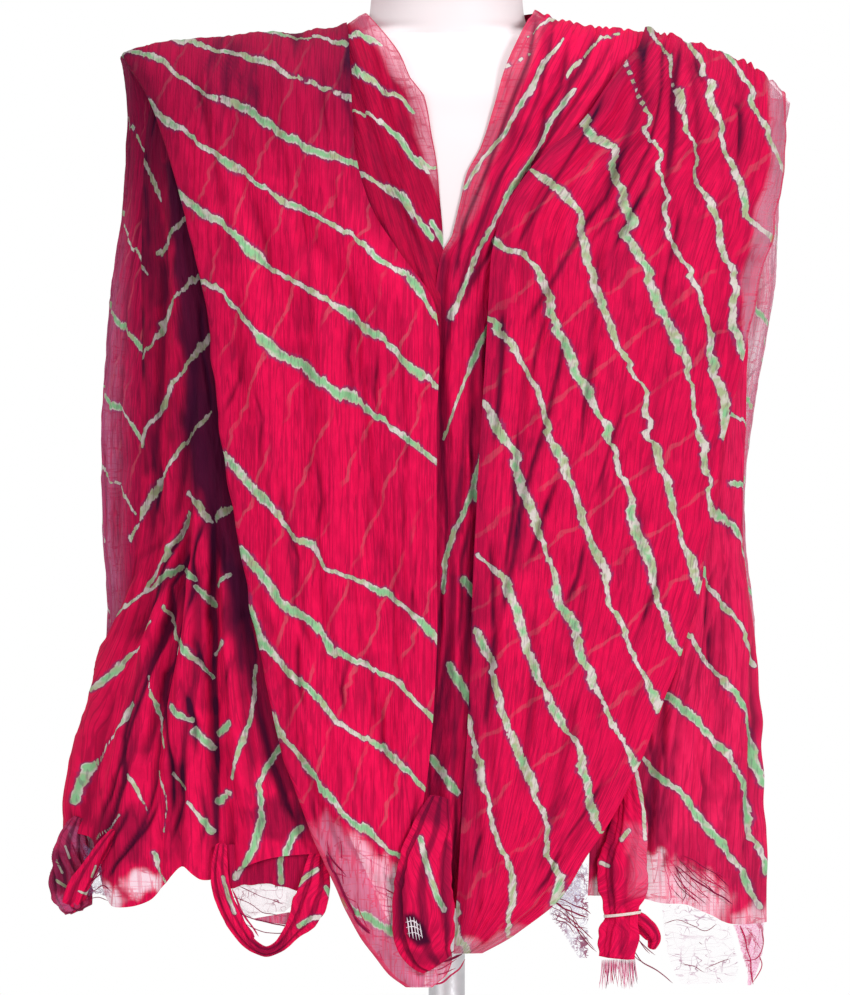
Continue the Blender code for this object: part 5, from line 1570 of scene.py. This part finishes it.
side_left = build("side_fall_left_cloth", [
    front_sheet(
        -1, SIDE_FALL_LEFT, 140, 0, 460, FOLDS_SIDE_LEFT, hem=HEM_SIDE_LEFT, flow=110,
        creases=CREASES_SIDE_LEFT + FURROWS_SIDE_LEFT,
        lines=[(half, green - 0.5 * (line[0][1] > PALE_ABOVE), line)
               for half, green, line in LINES_SIDE_LEFT] + list(DASHES_LEFT),
        seed=15, gloom=0.9, crinkles=(1.2, 0), jag=(1.2, 2.0), trail=13,
        shade=((90, 0), (300, 0.04), (420, 0.22), (540, 0.3), (570, 0.5), (600, 0.72), (640, 0.8)),
        sides=(0.0, 0.1),
        zones=courses("""
            shade 0.92 9: -120,620 -194,610 -187,560 -181,516 -178,478 -178,437 -172,398 -160,360 -151,330
                -140,296 -112,296 -112,400
            shade 0.5 12: -178,452 -187,430 -182,392 -168,372 -150,372 -150,452
            shade 0.55 9: -186,516 -194,560 -209,600 -214,560 -207,500 -206,440 -208,400 -200,400 -201,460
                -200,510
            shade 0.7 8: -146,335 -150,300 -140,270 -128,230 -116,190 -90,150 -90,250 -110,335
            shade 0.55 10: -264,150 -256,154 -245,147 -243,133 -247,123 -259,118 -266,127
            sheer 0.9 7: -238,113 -232,118 -223,117 -220,108 -225,98 -236,98
            sheer 0.9 6: -218,118 -211,124 -200,127 -194,123 -195,116 -204,110 -215,110
            shade 0.6 8: -246,150 -238,168 -226,178 -232,140 -238,118 -246,124
            shade 0.5 10: -219,165 -209,175 -202,150 -208,130 -220,128
            shade 0.45 12: -188,200 -176,200 -176,140 -186,140
            shade 0.5 8: -128,172 -113,176 -92,170 -92,152 -126,152
        """),
    ),
], [side_silk])

side_right = build("side_fall_right_cloth", [
    front_sheet(
        1, SIDE_FALL_RIGHT, 110, 0, 420, FOLDS_SIDE_RIGHT, hem=HEM_SIDE_RIGHT, flow=90, crinkles=(1.2, 0),
        creases=CREASES_SIDE_RIGHT + FURROWS_SIDE_RIGHT, lines=LINES_SIDE_RIGHT, seed=16, gloom=0.6,
        sides=(0.3, 0.0), jag=(1.6, 1.6), trail=11,
        zones=courses("""
            sheer 0.75 16: 146,132 165,128 184,119 192,110 188,92 165,92 144,96
            sheer 0.8 7: 138,142 147,139 150,121 148,96 135,96 134,121
            sheer 0.6 7: 196,96 226,104 226,84 196,84
            sheer 0.4 8: 86,118 98,120 112,121 114,102 86,102
            shade 0.5 12: 128,210 140,214 150,170 146,140 132,160
            shade 0.75 5: 110,196 116,196 116,150 115,112 110,112 109,150
            shade 0.25 12: 150,150 180,160 192,126 170,126 150,132
        """),
    ),
    *threads("""
        0.7 1: 150,136 158,126 166,117 178,108
        0.6 2: 152,128 160,118 169,110
        0.6 1: 158,134 168,124 180,114 188,108
        0.5 2: 166,132 176,122 188,114
        0.6 1: 149,120 156,112 160,107
        0.5 2: 172,128 184,118 192,110
        0.8 1: 148,140 151,128 158,116 170,106
        0.7 2: 154,139 164,130 178,120 190,114
        0.6 1: 160,138 172,131 186,122 192,116
        0.7 2: 147,132 150,120 152,110 150,106
        0.6 1: 155,124 164,114 176,104
        0.6 2: 164,124 172,114 180,106
        0.7 1: 151,136 158,122 162,112 160,106
        0.6 2: 168,134 180,128 190,122
        0.9 1: 156,131 170,120 186,110 194,104
        0.5 2: 158,118 168,108 172,103
    """, 1.0, 90, rise=0.3),
], [lit_rose_silk, thread_silk, rose_thread])

# ---- the stretches round the sides and down the back

# Their creases: height, half width, place across, lean, top and bottom
CREASES_WRAP_LEFT = hanging_creases((
    (-2.4, 3, 214, 10, 600, 360), (2, 3.8, 236, -8, 560, 300), (-2.6, 3.2, 262, 8, 640, 330),
    (-2, 2.8, 292, -10, 430, 170), (2.2, 4, 312, 6, 660, 380), (-2.6, 3.2, 336, 8, 600, 250),
    (-1.3, 1.7, 248, 18, 420, 260), (-1.3, 1.7, 280, -16, 560, 430), (-1.3, 1.7, 322, 16, 330, 170),
    (-1.3, 1.7, 352, -14, 520, 360), (-2.2, 2.8, 362, 4, 330, 150),
))
CREASES_WRAP_RIGHT = hanging_creases((
    (-2.2, 3, 232, 8, 560, 330), (2, 3.8, 254, -8, 600, 350), (-2.4, 3.2, 276, 10, 470, 200),
    (-2, 2.8, 304, -8, 620, 400), (2.2, 4, 326, 6, 430, 190), (-2.4, 3, 348, 6, 600, 280),
    (-1.1, 1.6, 264, 16, 350, 210), (-1.1, 1.6, 292, -14, 520, 390), (-1.1, 1.6, 336, 14, 300, 170),
    (-1.9, 2.6, 366, 2, 380, 170),
))
CREASES_BACK = hanging_creases((
    (-2.8, 3.2, -150, 8, 660, 380), (2.4, 4, -128, 10, 690, 460), (-2.6, 3, -104, 6, 640, 250),
    (-2.4, 3, -70, -6, 690, 430), (2.6, 4.2, -44, -4, 560, 190), (-3, 3.4, -16, 5, 680, 330),
    (-2.2, 2.8, 14, -8, 480, 170), (2.4, 4, 36, 6, 690, 410), (-2.6, 3.2, 62, 8, 640, 300),
    (-2.4, 3, 88, -6, 420, 175), (2.4, 4.2, 112, -8, 680, 390), (-2.8, 3.2, 138, -6, 650, 330),
    (-2.2, 2.8, 160, 4, 440, 180), (-2.4, 3, -168, 6, 420, 180), (2.2, 3.8, -90, 8, 350, 160),
    (-1.5, 1.8, -138, 22, 620, 500), (-1.2, 1.6, -118, -18, 520, 330), (-1.5, 1.8, -86, 20, 600, 420),
    (-1.1, 1.5, -58, -16, 330, 180), (-1.5, 1.8, -30, 24, 470, 300), (-1.2, 1.6, 4, -20, 640, 520),
    (-1.5, 1.8, 26, 18, 350, 200), (-1.1, 1.5, 52, -22, 560, 430), (-1.5, 1.8, 74, 16, 300, 165),
    (-1.2, 1.6, 98, -20, 610, 470), (-1.5, 1.8, 122, 22, 400, 240), (-1.1, 1.5, 150, -16, 560, 430),
))
# Heights at which the tied lines of the sides and the back start
LEVELS_WRAP_LEFT = (700, 638, 576, 511, 452, 404, 350, 297, 247, 197, 147)
LEVELS_WRAP_RIGHT = (250, 300, 350, 403, 456, 505, 564, 629, 691, 753, 815, 877)
LEVELS_BACK = (200, 248, 298, 348, 398, 451, 505, 553, 612, 677, 739, 801, 863)

wrap_left = build("side_wrap_left_cloth", [
    wrap_sheet(
        -1, SIDE_WRAP_LEFT, 100, 12, 240, FOLDS_WRAP,
        round_side([line for line in LINES_SIDE_LEFT if line[2][0][0] < OUTER], -1)
        + slanted_lines(258, 460, LEVELS_WRAP_LEFT, 0.5, 2.8, 61),
        17, ((90, 0.5), (230, 0.4), (300, 0.1), (560, 0.1), (620, 0.5), (700, 0.6)), 0.9, (212, 240),
        CREASES_WRAP_LEFT,
    ),
], [shaded_plum_silk])

wrap_right = build("side_wrap_right_cloth", [
    wrap_sheet(
        1, SIDE_WRAP_RIGHT, 100, 12, 240, FOLDS_WRAP,
        slanted_lines(150, 460, LEVELS_WRAP_RIGHT, -0.62, 2.8, 62),
        18, ((90, 0), (700, 0)), 0.95, (150, 190), CREASES_WRAP_RIGHT,
    ),
], [pale_silk])

back = build("back_fall_cloth", [
    back_sheet(168, 20, 226, slanted_lines(-185, 190, LEVELS_BACK, -0.38, 3.4, 63), CREASES_BACK, 19),
], [back_silk])

# ---- the pieces along the hem: bunched lengths are places across and up, lift, half width and half depth

LOOP = (
    (-152, 147, 2.2, 3, 1.2), (-153, 132, 3.2, 4.6, 2.2), (-151.8, 118, 3.8, 5, 2.6),
    (-146.5, 102, 3.6, 5.2, 3), (-139, 88, 3.2, 4.4, 3), (-131.5, 79, 3, 3.6, 2.8), (-122, 74.6, 3, 3, 2.6),
    (-113, 78.5, 3, 3.4, 2.8), (-104.5, 88, 3.2, 5, 3.4), (-97, 98, 3.4, 8.2, 4), (-91.5, 109, 3, 9.4, 3.8),
    (-88.5, 122, 2.6, 8, 3), (-87, 137, 2.4, 5.4, 2.2), (-84.5, 146, 2.2, 2.6, 1.4),
)
loop = build("hem_loop_left_cloth", [
    *bunch(
        LOOP, 170, 72, 21, ridges=5, depth=0.26, twist=0.1, wander=0.4,
        lines=courses("""
            1.3 0.1: -152,124 -148,110 -144,100
            1.6 0.9: -82,118 -79,112
            1.8 0.4: -100,92 -92,97 -86,98
            1.8 0.5: -101,120 -94,126 -88,130
        """),
        dark=courses("0.55 6: -136,84 -128,70 -112,72 -106,86 -120,78"),
    ),
    web_sheet(
        "-154,146 -152,132 -147,116", "-86,148 -92,132 -99,115", 70, 30, 1.5, 83, 0, 0.0,
        lines=courses("""
            2.2 0.2: -130,150 -136,136 -143,124
            2 0.6: -110,150 -113,134 -112,121
        """),
        sag=4.0, shade=0.42,
    ),
    web_sheet("-149,130 -147,117 -141,103 -136,95", "-98,130 -100,118 -104,106 -110,100",
              60, 50, 0.2, 81, 1, 0.85),
    web_sheet("-130,96.4 -129,95", "-106,101 -105,92", 30, 12, 3.4, 82, 2, 0.3, sag=0.0),
    *threads("""
        0.5 3: -146,112 -136,108 -124,101 -112,98
        0.5 3: -140,118 -126,112 -110,106
        0.9 3: -141,101 -133,97 -124,95 -112,92 -104,90
        0.5 3: -136,92 -126,88 -114,87 -107,88
        2.4 4: -149,124 -144,108 -137,94 -130,84
        1.2 4: -145,116 -139,102 -132,92 -127,84
    """, 3.6, 70, rise=0.25),
], [side_silk, web_gauze, shaded_plum_silk, thread_silk, rose_thread])

CORNER = (
    (-253, 162, -0.6, 3, 0.8), (-256.5, 150, -0.4, 7.6, 2.2), (-257.5, 140, 0, 9.4, 3.6),
    (-258.5, 130, 0.6, 10.4, 5), (-258, 119, 1.5, 11, 6.2), (-255.5, 108, 1.5, 10.8, 6.2),
    (-252, 98.5, 1.5, 8, 4.6),
)
CORNER_FOLD = (
    (-226, 154, 0.6, 2.6, 1.2), (-234, 142, 1.4, 4, 2), (-242, 128, 2.6, 5.2, 2.8),
    (-249, 114, 4.8, 6.4, 3.4), (-253, 104, 4.4, 6.2, 3.2), (-255, 98, 3.6, 4, 2),
)
corner = build("corner_bundle_left_cloth", [
    *bunch(
        CORNER, 84, 84, 22, ridges=7, depth=0.26, shade=0.2, sheer=0.2, twist=0.6, wander=0.8,
        ends="low", slot=3,
        lines=courses("""
            1 -0.6: -268,119 -262,115 -256,113
            0.8 -0.6: -262,142 -259,134
            0.8 -0.6: -268,132 -264,124
        """),
        dark=courses("0.6 8: -272,140 -262,140 -260,122 -262,112 -272,110"),
        veil=courses("""
            0.8 6: -268,110 -258,108 -254,98 -268,98
            0.8 5: -262,156 -246,156 -248,136 -256,138
        """),
    ),
    *bunch(
        CORNER_FOLD, 60, 48, 26, ridges=4, depth=0.24, twist=0.3, wander=0.5,
        lines=courses("""
            0.8 -0.6: -252,112 -247,110 -243,114
            0.7 -0.6: -240,130 -243,122
        """),
    ),
    web_sheet("-250,146 -248,128 -246,108", "-238,136 -233,120 -228,106", 30, 40, 0.2, 84, 1, 0.6),
    *threads("""
        0.7 2: -248,142 -246,130 -250,118
        0.7 2: -262,150 -256,142 -252,134
        0.7 2: -246,116 -238,122 -232,128
        0.7 2: -246,106 -238,108 -230,106
        0.7 2: -240,112 -234,116 -228,112
    """, 1.6, 74, rise=0.3),
], [side_silk, blue_gauze, thread_silk, shaded_plum_silk])

CURL = (
    (-4.5, 180, 9.8, 5.5, 0.6), (-8.5, 164, 11.8, 10.5, 1.3), (-12, 147, 14, 14, 2.6),
    (-14.5, 128, 16.5, 16.4, 4.8), (-15.5, 108, 17.3, 18, 6.2), (-15, 90, 17, 17.6, 6.2),
    (-12, 76, 15.5, 15, 5), (-6, 66.5, 13.5, 9.5, 3.2),
)
pale_thread = plain("pale_thread", (238, 230, 234), (214, 198, 210), specular=0.1)
curl = build("hem_curl_front_cloth", [
    *bunch(
        CURL, 140, 120, 23, ridges=6, depth=0.15, twist=0.0, wander=0.5, groove_shade=0.6, shade=0.04,
        lines=courses("2 0.5: -18,152 -15,138 -11,125 -7,113 -2,104"),
        dark=courses("""
            0.95 4: -29,101 -22,102 -15,93 -11,82 -20,79 -27,86
            0.6 6: -36,130 -28,132 -27,110 -30,84 -36,84
            0.5 8: -24,184 6,184 8,168 -4,160 -20,164 -26,170
            0.55 5: -2,150 3,150 3,90 -1,80 -4,110
            0.4 5: -30,78 -10,74 6,76 2,68 -20,66
        """),
    ),
    *threads("""
        0.7 1: -26,99 -25,93 -24.5,86
        0.7 1: -24,100 -23,93 -22,85
        0.7 1: -22,99 -21,92 -20,84
        0.7 1: -20,97 -19,90 -18,84
        0.7 1: -18,95 -17,89 -16,85
        0.7 1: -27,96 -22,97 -18,94
        0.7 1: -26.5,92 -22,93 -16.5,90
        0.7 1: -26,88 -21,89 -16,86
    """, 24.7, 130, wander=0.3, rise=0.2),
], [bright_silk, pale_thread])

TAIL_CLOTH = (
    (122, 202, 1.2, 6, 2.6), (124, 180, 1.6, 8, 3.2), (122.5, 155, 4.4, 11, 4.4),
    (119, 130, 5.6, 14.6, 5.2), (118, 114, 5.6, 13.4, 5), (117, 105, 5.6, 10.4, 4.4),
    (117, 94.5, 5.6, 9.6, 4.4), (116, 86, 5.6, 11.5, 4.8), (114.5, 69, 5.6, 10.4, 4),
)
tail = build("tail_right_cloth", [
    *bunch(
        TAIL_CLOTH, 170, 96, 24, ridges=5, depth=0.24, twist=0.0, wander=0.3, groove_shade=0.2,
        lines=courses("""
            1.3 0.1: 128,196 133,172 134,150
            1.6 0.1: 118,150 123,156
            1.4 0.6: 104,134 109,132
        """),
        dark=courses("""
            0.55 4: 108,180 113,180 114,104 109,104
            0.45 4: 121,140 124,140 121,104 118,104
            0.45 3: 117,96 120,96 119,72 116,72
        """),
        veil=courses("0.3 8: 122,160 142,160 142,112 124,112"),
    ),
    *bunch(
        ((120.0, 99.0, 7.4, 3.0, 1.6), (127.0, 95.5, 7.2, 4.6, 2.0), (134.0, 89.0, 6.4, 5.0, 2.0),
         (138.5, 82.0, 5.4, 4.0, 1.6), (137.0, 75.0, 4.4, 2.0, 1.0)),
        40, 36, 25, ridges=4, depth=0.24, twist=0.0, shade=0.0, wander=0.3,
    ),
    *threads("""
        0.6 1: 122,94 127,84 134,76 140,71
        0.5 1: 124,90 130,80 136,72
        0.7 1: 121,88 124,76 130,68 142,60 152,52
        0.5 1: 120,80 126,70 134,64
    """, 3.4, 120, rise=0.3),
], [bright_silk, thread_silk])


FRINGE_COUNT = 56
FRINGE_HALF_WIDTH = 11.2
FRINGE_TOP = 66.6
FRINGE_LENGTH = 19
# The strands start this far up inside the tail
FRINGE_START = 2.0


def fringe_strands():
    """Fine strands side by side inside the fringe's solid, each with its own sway."""
    rng = np.random.default_rng(31)
    centre_x, lift = TAIL_CLOTH[-1][0], TAIL_CLOTH[-1][2]
    made = []
    for number in range(FRINGE_COUNT):
        place = -FRINGE_HALF_WIDTH + 2 * FRINGE_HALF_WIDTH * number / (FRINGE_COUNT - 1)
        length = FRINGE_LENGTH * (0.35 + 0.62 * rng.random())
        sway = rng.uniform(-2.2, 2.2)
        rows = [
            (centre_x + place + sway * part ** 2, FRINGE_TOP + FRINGE_START - (length + FRINGE_START) * part)
            for part in np.linspace(0, 1, 12)
        ]
        made.append(thread(rows, rng.uniform(0.35, 0.6), lift + rng.uniform(-0.4, 0.4), 100 + number,
                           slot=(2, 0, 2, 2, 1, 2, 2)[number % 7], wander=0.15, rise=0.2))
    return made


fringe = build("tail_fringe_right_threads", fringe_strands(), [
    plain("red_fringe", (196, 24, 70), (140, 14, 54), (0.5, 0.7), scale=300),
    plain("dark_fringe", (120, 16, 60), (84, 12, 46), (0.5, 0.7), scale=300),
    plain("pale_fringe", (226, 150, 176), (200, 90, 130), (0.5, 0.7), scale=300),
])


# The tail's narrowest place, and the thread wound round it
WAIST = TAIL_CLOTH[6]
TIE_TURNS, TIE_STEPS, TIE_SIDES = 2, 72, 10
TIE_HEIGHTS = (100.4, 98.6)
TIE_RADIUS = 0.55
TIE_SLANT = 1.6


def tie_turns():
    """A thread wound round the tail's narrowest place, as one long strand."""
    x, _, lift, half_wide, half_deep = WAIST
    steps = TIE_STEPS * TIE_TURNS
    turn = 2 * math.pi * np.arange(steps + 1) / TIE_STEPS
    height = mix(*TIE_HEIGHTS, np.arange(steps + 1) / steps) + TIE_SLANT * np.cos(turn)
    centre_point = on_front(np.array(float(x)), height, float(lift))
    wide, deep = 1.13 * np.array((half_wide, half_deep)) + 1.35
    around = 2 * math.pi * np.arange(TIE_SIDES)[None, :] / TIE_SIDES
    out = np.stack((np.cos(turn), np.sin(turn), 0 * turn), -1)
    middle = centre_point + out * np.stack((wide + 0 * turn, deep + 0 * turn, 0 * turn), -1)
    ring = (
        middle[:, None]
        + out[:, None] * (TIE_RADIUS * np.cos(around))[..., None]
        + np.array((0, 0, 1.0)) * (TIE_RADIUS * np.sin(around))[..., None]
    )
    return [patch(ring, 0.0, 0.0, ring=True, flip=True)]


tie = build("tail_tie_right_thread", tie_turns(), [
    plain("tie_thread", (236, 226, 220), (214, 196, 192), (0.6, 0.8), scale=500),
])


def net_sheet(table, columns, steps, amount, seed, strands, lift, brim=None, zones=()):
    """A worn open piece that hangs from a hem, with loose strands over it."""
    sheet = front_sheet(1, table, columns, 0, steps, (), brim=brim, crinkles=(0.5, 0), seed=seed,
                        sheer=amount, zones=zones)
    return [sheet, *threads(strands, lift, seed, rise=0.3)]


corner_net = build("corner_net_right_cloth", net_sheet(CORNER_NET_RIGHT, 30, 50, 0.3, 71, """
    1.1 1: 201,88 205,76 208,62 210,48
    0.8 1: 217,84 218,74 214,66 203,64
    0.7 1: 214,66 216,60 213,53 210,49
    0.4 1: 206,86 211,78 215,72
""", 0.3), [rose_gauze, rose_thread])

hem_net = build("hem_net_right_cloth", net_sheet(HEM_NET_RIGHT, 60, 50, 0.95, 72, """
    0.5 1: 148,92 158,94 168,90 176,86 184,90
    0.4 1: 158,64 168,62 176,58
    0.6 1: 172,79 174,77
    0.4 1: 176,60 186,64 194,66
""", 0.0, brim=HEM_SIDE_RIGHT), [hem_gauze, thread_silk])

front_net = build("front_net_right_cloth", net_sheet(FRONT_NET_RIGHT, 40, 70, 0.2, 73, """
    0.9 1: 66,112 76,105 86,101 94,97
    0.8 1: 70,112 80,108 90,104 96,100
    0.6 1: 84,98 86,90 94,80 100,74
    0.5 1: 76,106 82,104 84,98 92,96
    0.7 1: 68,106 78,100 88,92 97,83
    0.6 1: 70,100 82,94 92,84 99,76
    0.6 1: 74,108 84,97 90,88
    0.5 1: 80,102 84,92 94,90
    0.5 1: 72,96 80,93 86,86
""", 4.4, zones=courses("""
    sheer 1 10: 60,104 80,106 100,100 100,60 60,60
    sheer 1 5: 90,140 100,140 100,90 88,90
""")), [blue_gauze, thread_silk])

# ---------------------------------------------------------------- the form and its stand

# The form is white: the faint pink in its colour is painted light, reflected off the red cloth
skin = plain("form_skin", (246, 236, 238), (241, 227, 230), (0.5, 0.6), scale=14, relief=0.0001)
metal = plain("brushed_metal", (244, 244, 246), (228, 228, 232), (0.36, 0.48), 1.0, 30, 0.00005,
              stretch=(1, 1, 8), specular=0.5)

form = build("dress_form_body", [form_sheet(96, 110)], [skin])
cap = lathe("neck_cap_body", """
    0.5,751.3 20,751.3 34,751.1 38,750.9 42,750.4 45.5,749.2 47.6,747.4 49.6,745.2 50.8,743.6 50.6,742.9
    50,742.4 0.5,742.4
""", skin)
pole = lathe("stand_pole_body", """
    0.4,169.6 11.6,169.6 12.4,169 12.5,168 12.5,120 12.5,70 12.5,16 12.4,14.5 0.4,14.4
""", metal, 64)
base = lathe("stand_base_body", """
    0.5,14 60,14 112,14 118,13.8 122.5,12.6 125.6,11 127.6,9.6 129.2,7.2 129.9,4.6 130,0.6 129.4,0 60,0
    0.5,0
""", metal, 160)

# ---------------------------------------------------------------- what each piece stands for

# Piece, node and material slot, and for cloth the cut of what shows on its stretch, width by length in
# metres, how it is held and what it rests on
stands_for = (
    (panel_left, "front_panel_left", "silk", (0.165, 0.69), "draped", ("dress_form_body",)),
    (panel_right, "front_panel_right", "silk", (0.185, 0.67), "draped", ("dress_form_body",)),
    (neck_fold, "neck_fold_left", "silk", (0.055, 0.25), "draped", ("dress_form_body",)),
    (centre, "centre_fall", "silk", (0.072, 0.63), "draped", ("dress_form_body",)),
    (side_left, "side_fall_left", "silk", (0.135, 0.55), "draped", ("front_panel_left_cloth",)),
    (side_right, "side_fall_right", "silk", (0.1, 0.47), "draped", ("front_panel_right_cloth",)),
    (wrap_left, "side_wrap_left", "sheer_silk", (0.155, 0.57), "draped", ("dress_form_body",)),
    (wrap_right, "side_wrap_right", "sheer_silk", (0.155, 0.53), "draped", ("dress_form_body",)),
    (back, "back_fall", "silk", (0.385, 0.61), "draped", ("dress_form_body",)),
    (loop, "hem_loop_left", "silk", (0.075, 0.135), "gathered", ("side_fall_left_cloth",)),
    (corner, "corner_bundle_left", "silk", (0.1, 0.078), "gathered", ("side_fall_left_cloth",)),
    (curl, "hem_curl_front", "silk", (0.083, 0.085), "gathered", ("front_panel_right_cloth",)),
    (tail, "tail_right", "silk", (0.06, 0.14), "gathered", ("side_fall_right_cloth",)),
    (fringe, "tail_fringe_right", "silk"),
    (tie, "tail_tie_right", "tie"),
    (corner_net, "corner_net_right", "net", (0.03, 0.042), "hung", ("side_fall_right_cloth",)),
    (hem_net, "hem_net_right", "net", (0.058, 0.05), "hung", ("side_fall_right_cloth",)),
    (front_net, "front_net_right", "net", (0.02, 0.065), "hung", ("front_panel_right_cloth",)),
    (form, "dress_form", "form_skin"),
    (cap, "neck_cap", "form_skin"),
    (pole, "stand_pole", "stand_metal"),
    (base, "stand_base", "stand_metal"),
)
for piece, node, slot, *cut in stands_for:
    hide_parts(node)

# ---------------------------------------------------------------- light, floor and camera

floor = lathe("studio_floor", """
    0.5,-0.4 40,-0.4 120,-0.4 260,-0.4 420,-0.4 520,-0.4 550,-0.4
""", plain("studio_floor", (250, 250, 250), (247, 247, 247), (0.8, 0.9), scale=60.0), flip=True)
floor.parent = None

# A white studio: its walls show white, and light the cloth about half as much
WHITE = (1, 1, 1, 1)
WALLS_SHOWN, WALLS_LIGHT = 1.0, 0.52
world = bpy.data.worlds.new("studio")
bpy.context.scene.world = world
world.use_nodes = True
nodes, links = world.node_tree.nodes, world.node_tree.links
walls = nodes["Background"]
glow = nodes.new("ShaderNodeBackground")
for shader, strength in ((walls, WALLS_SHOWN), (glow, WALLS_LIGHT)):
    shader.inputs["Color"].default_value = WHITE
    shader.inputs["Strength"].default_value = strength
path, shared = nodes.new("ShaderNodeLightPath"), nodes.new("ShaderNodeMixShader")
links.new(path.outputs["Is Camera Ray"], shared.inputs[0])
links.new(glow.outputs[0], shared.inputs[1])
links.new(walls.outputs[0], shared.inputs[2])
links.new(shared.outputs[0], nodes["World Output"].inputs[0])


def soft_light(name, place, aim, size, power):
    """A round soft light at a place in metres, which points at another."""
    lamp = bpy.data.lights.new(name, "AREA")
    lamp.shape = "DISK"
    lamp.size = size
    lamp.energy = power
    lamp_object = bpy.data.objects.new(name, lamp)
    bpy.context.scene.collection.objects.link(lamp_object)
    lamp_object.location = place
    lamp_object.rotation_euler = (Vector(aim) - Vector(place)).to_track_quat("-Z", "Y").to_euler()


soft_light("key", (1.9, -2.3, 1.5), (0, 0, 0.4), 1.0, 48)
soft_light("fill", (-2.0, -2.3, 0.9), (0, 0, 0.35), 1.6, 14)
soft_light("top", (-0.3, -0.3, 3.0), (0, 0, 0.5), 1.6, 30)

# The photo is taken to be from straight ahead: the height that it shows at 5 m away, in metres
SHOWN_HEIGHT, SHOWN_FROM, SENSOR = 0.6766, 5.0, 24
camera_data = bpy.data.cameras.new("camera")
camera = bpy.data.objects.new("camera", camera_data)
bpy.context.scene.collection.objects.link(camera)
camera.location = (-0.015, -5.08, 0.3815)
camera.rotation_euler = (math.pi / 2, 0, 0)
camera_data.sensor_fit = "VERTICAL"
camera_data.sensor_height = SENSOR
camera_data.lens = SENSOR * SHOWN_FROM / SHOWN_HEIGHT
camera_data.clip_end = 100
bpy.context.scene.camera = camera
bpy.context.scene.view_settings.view_transform = "Standard"
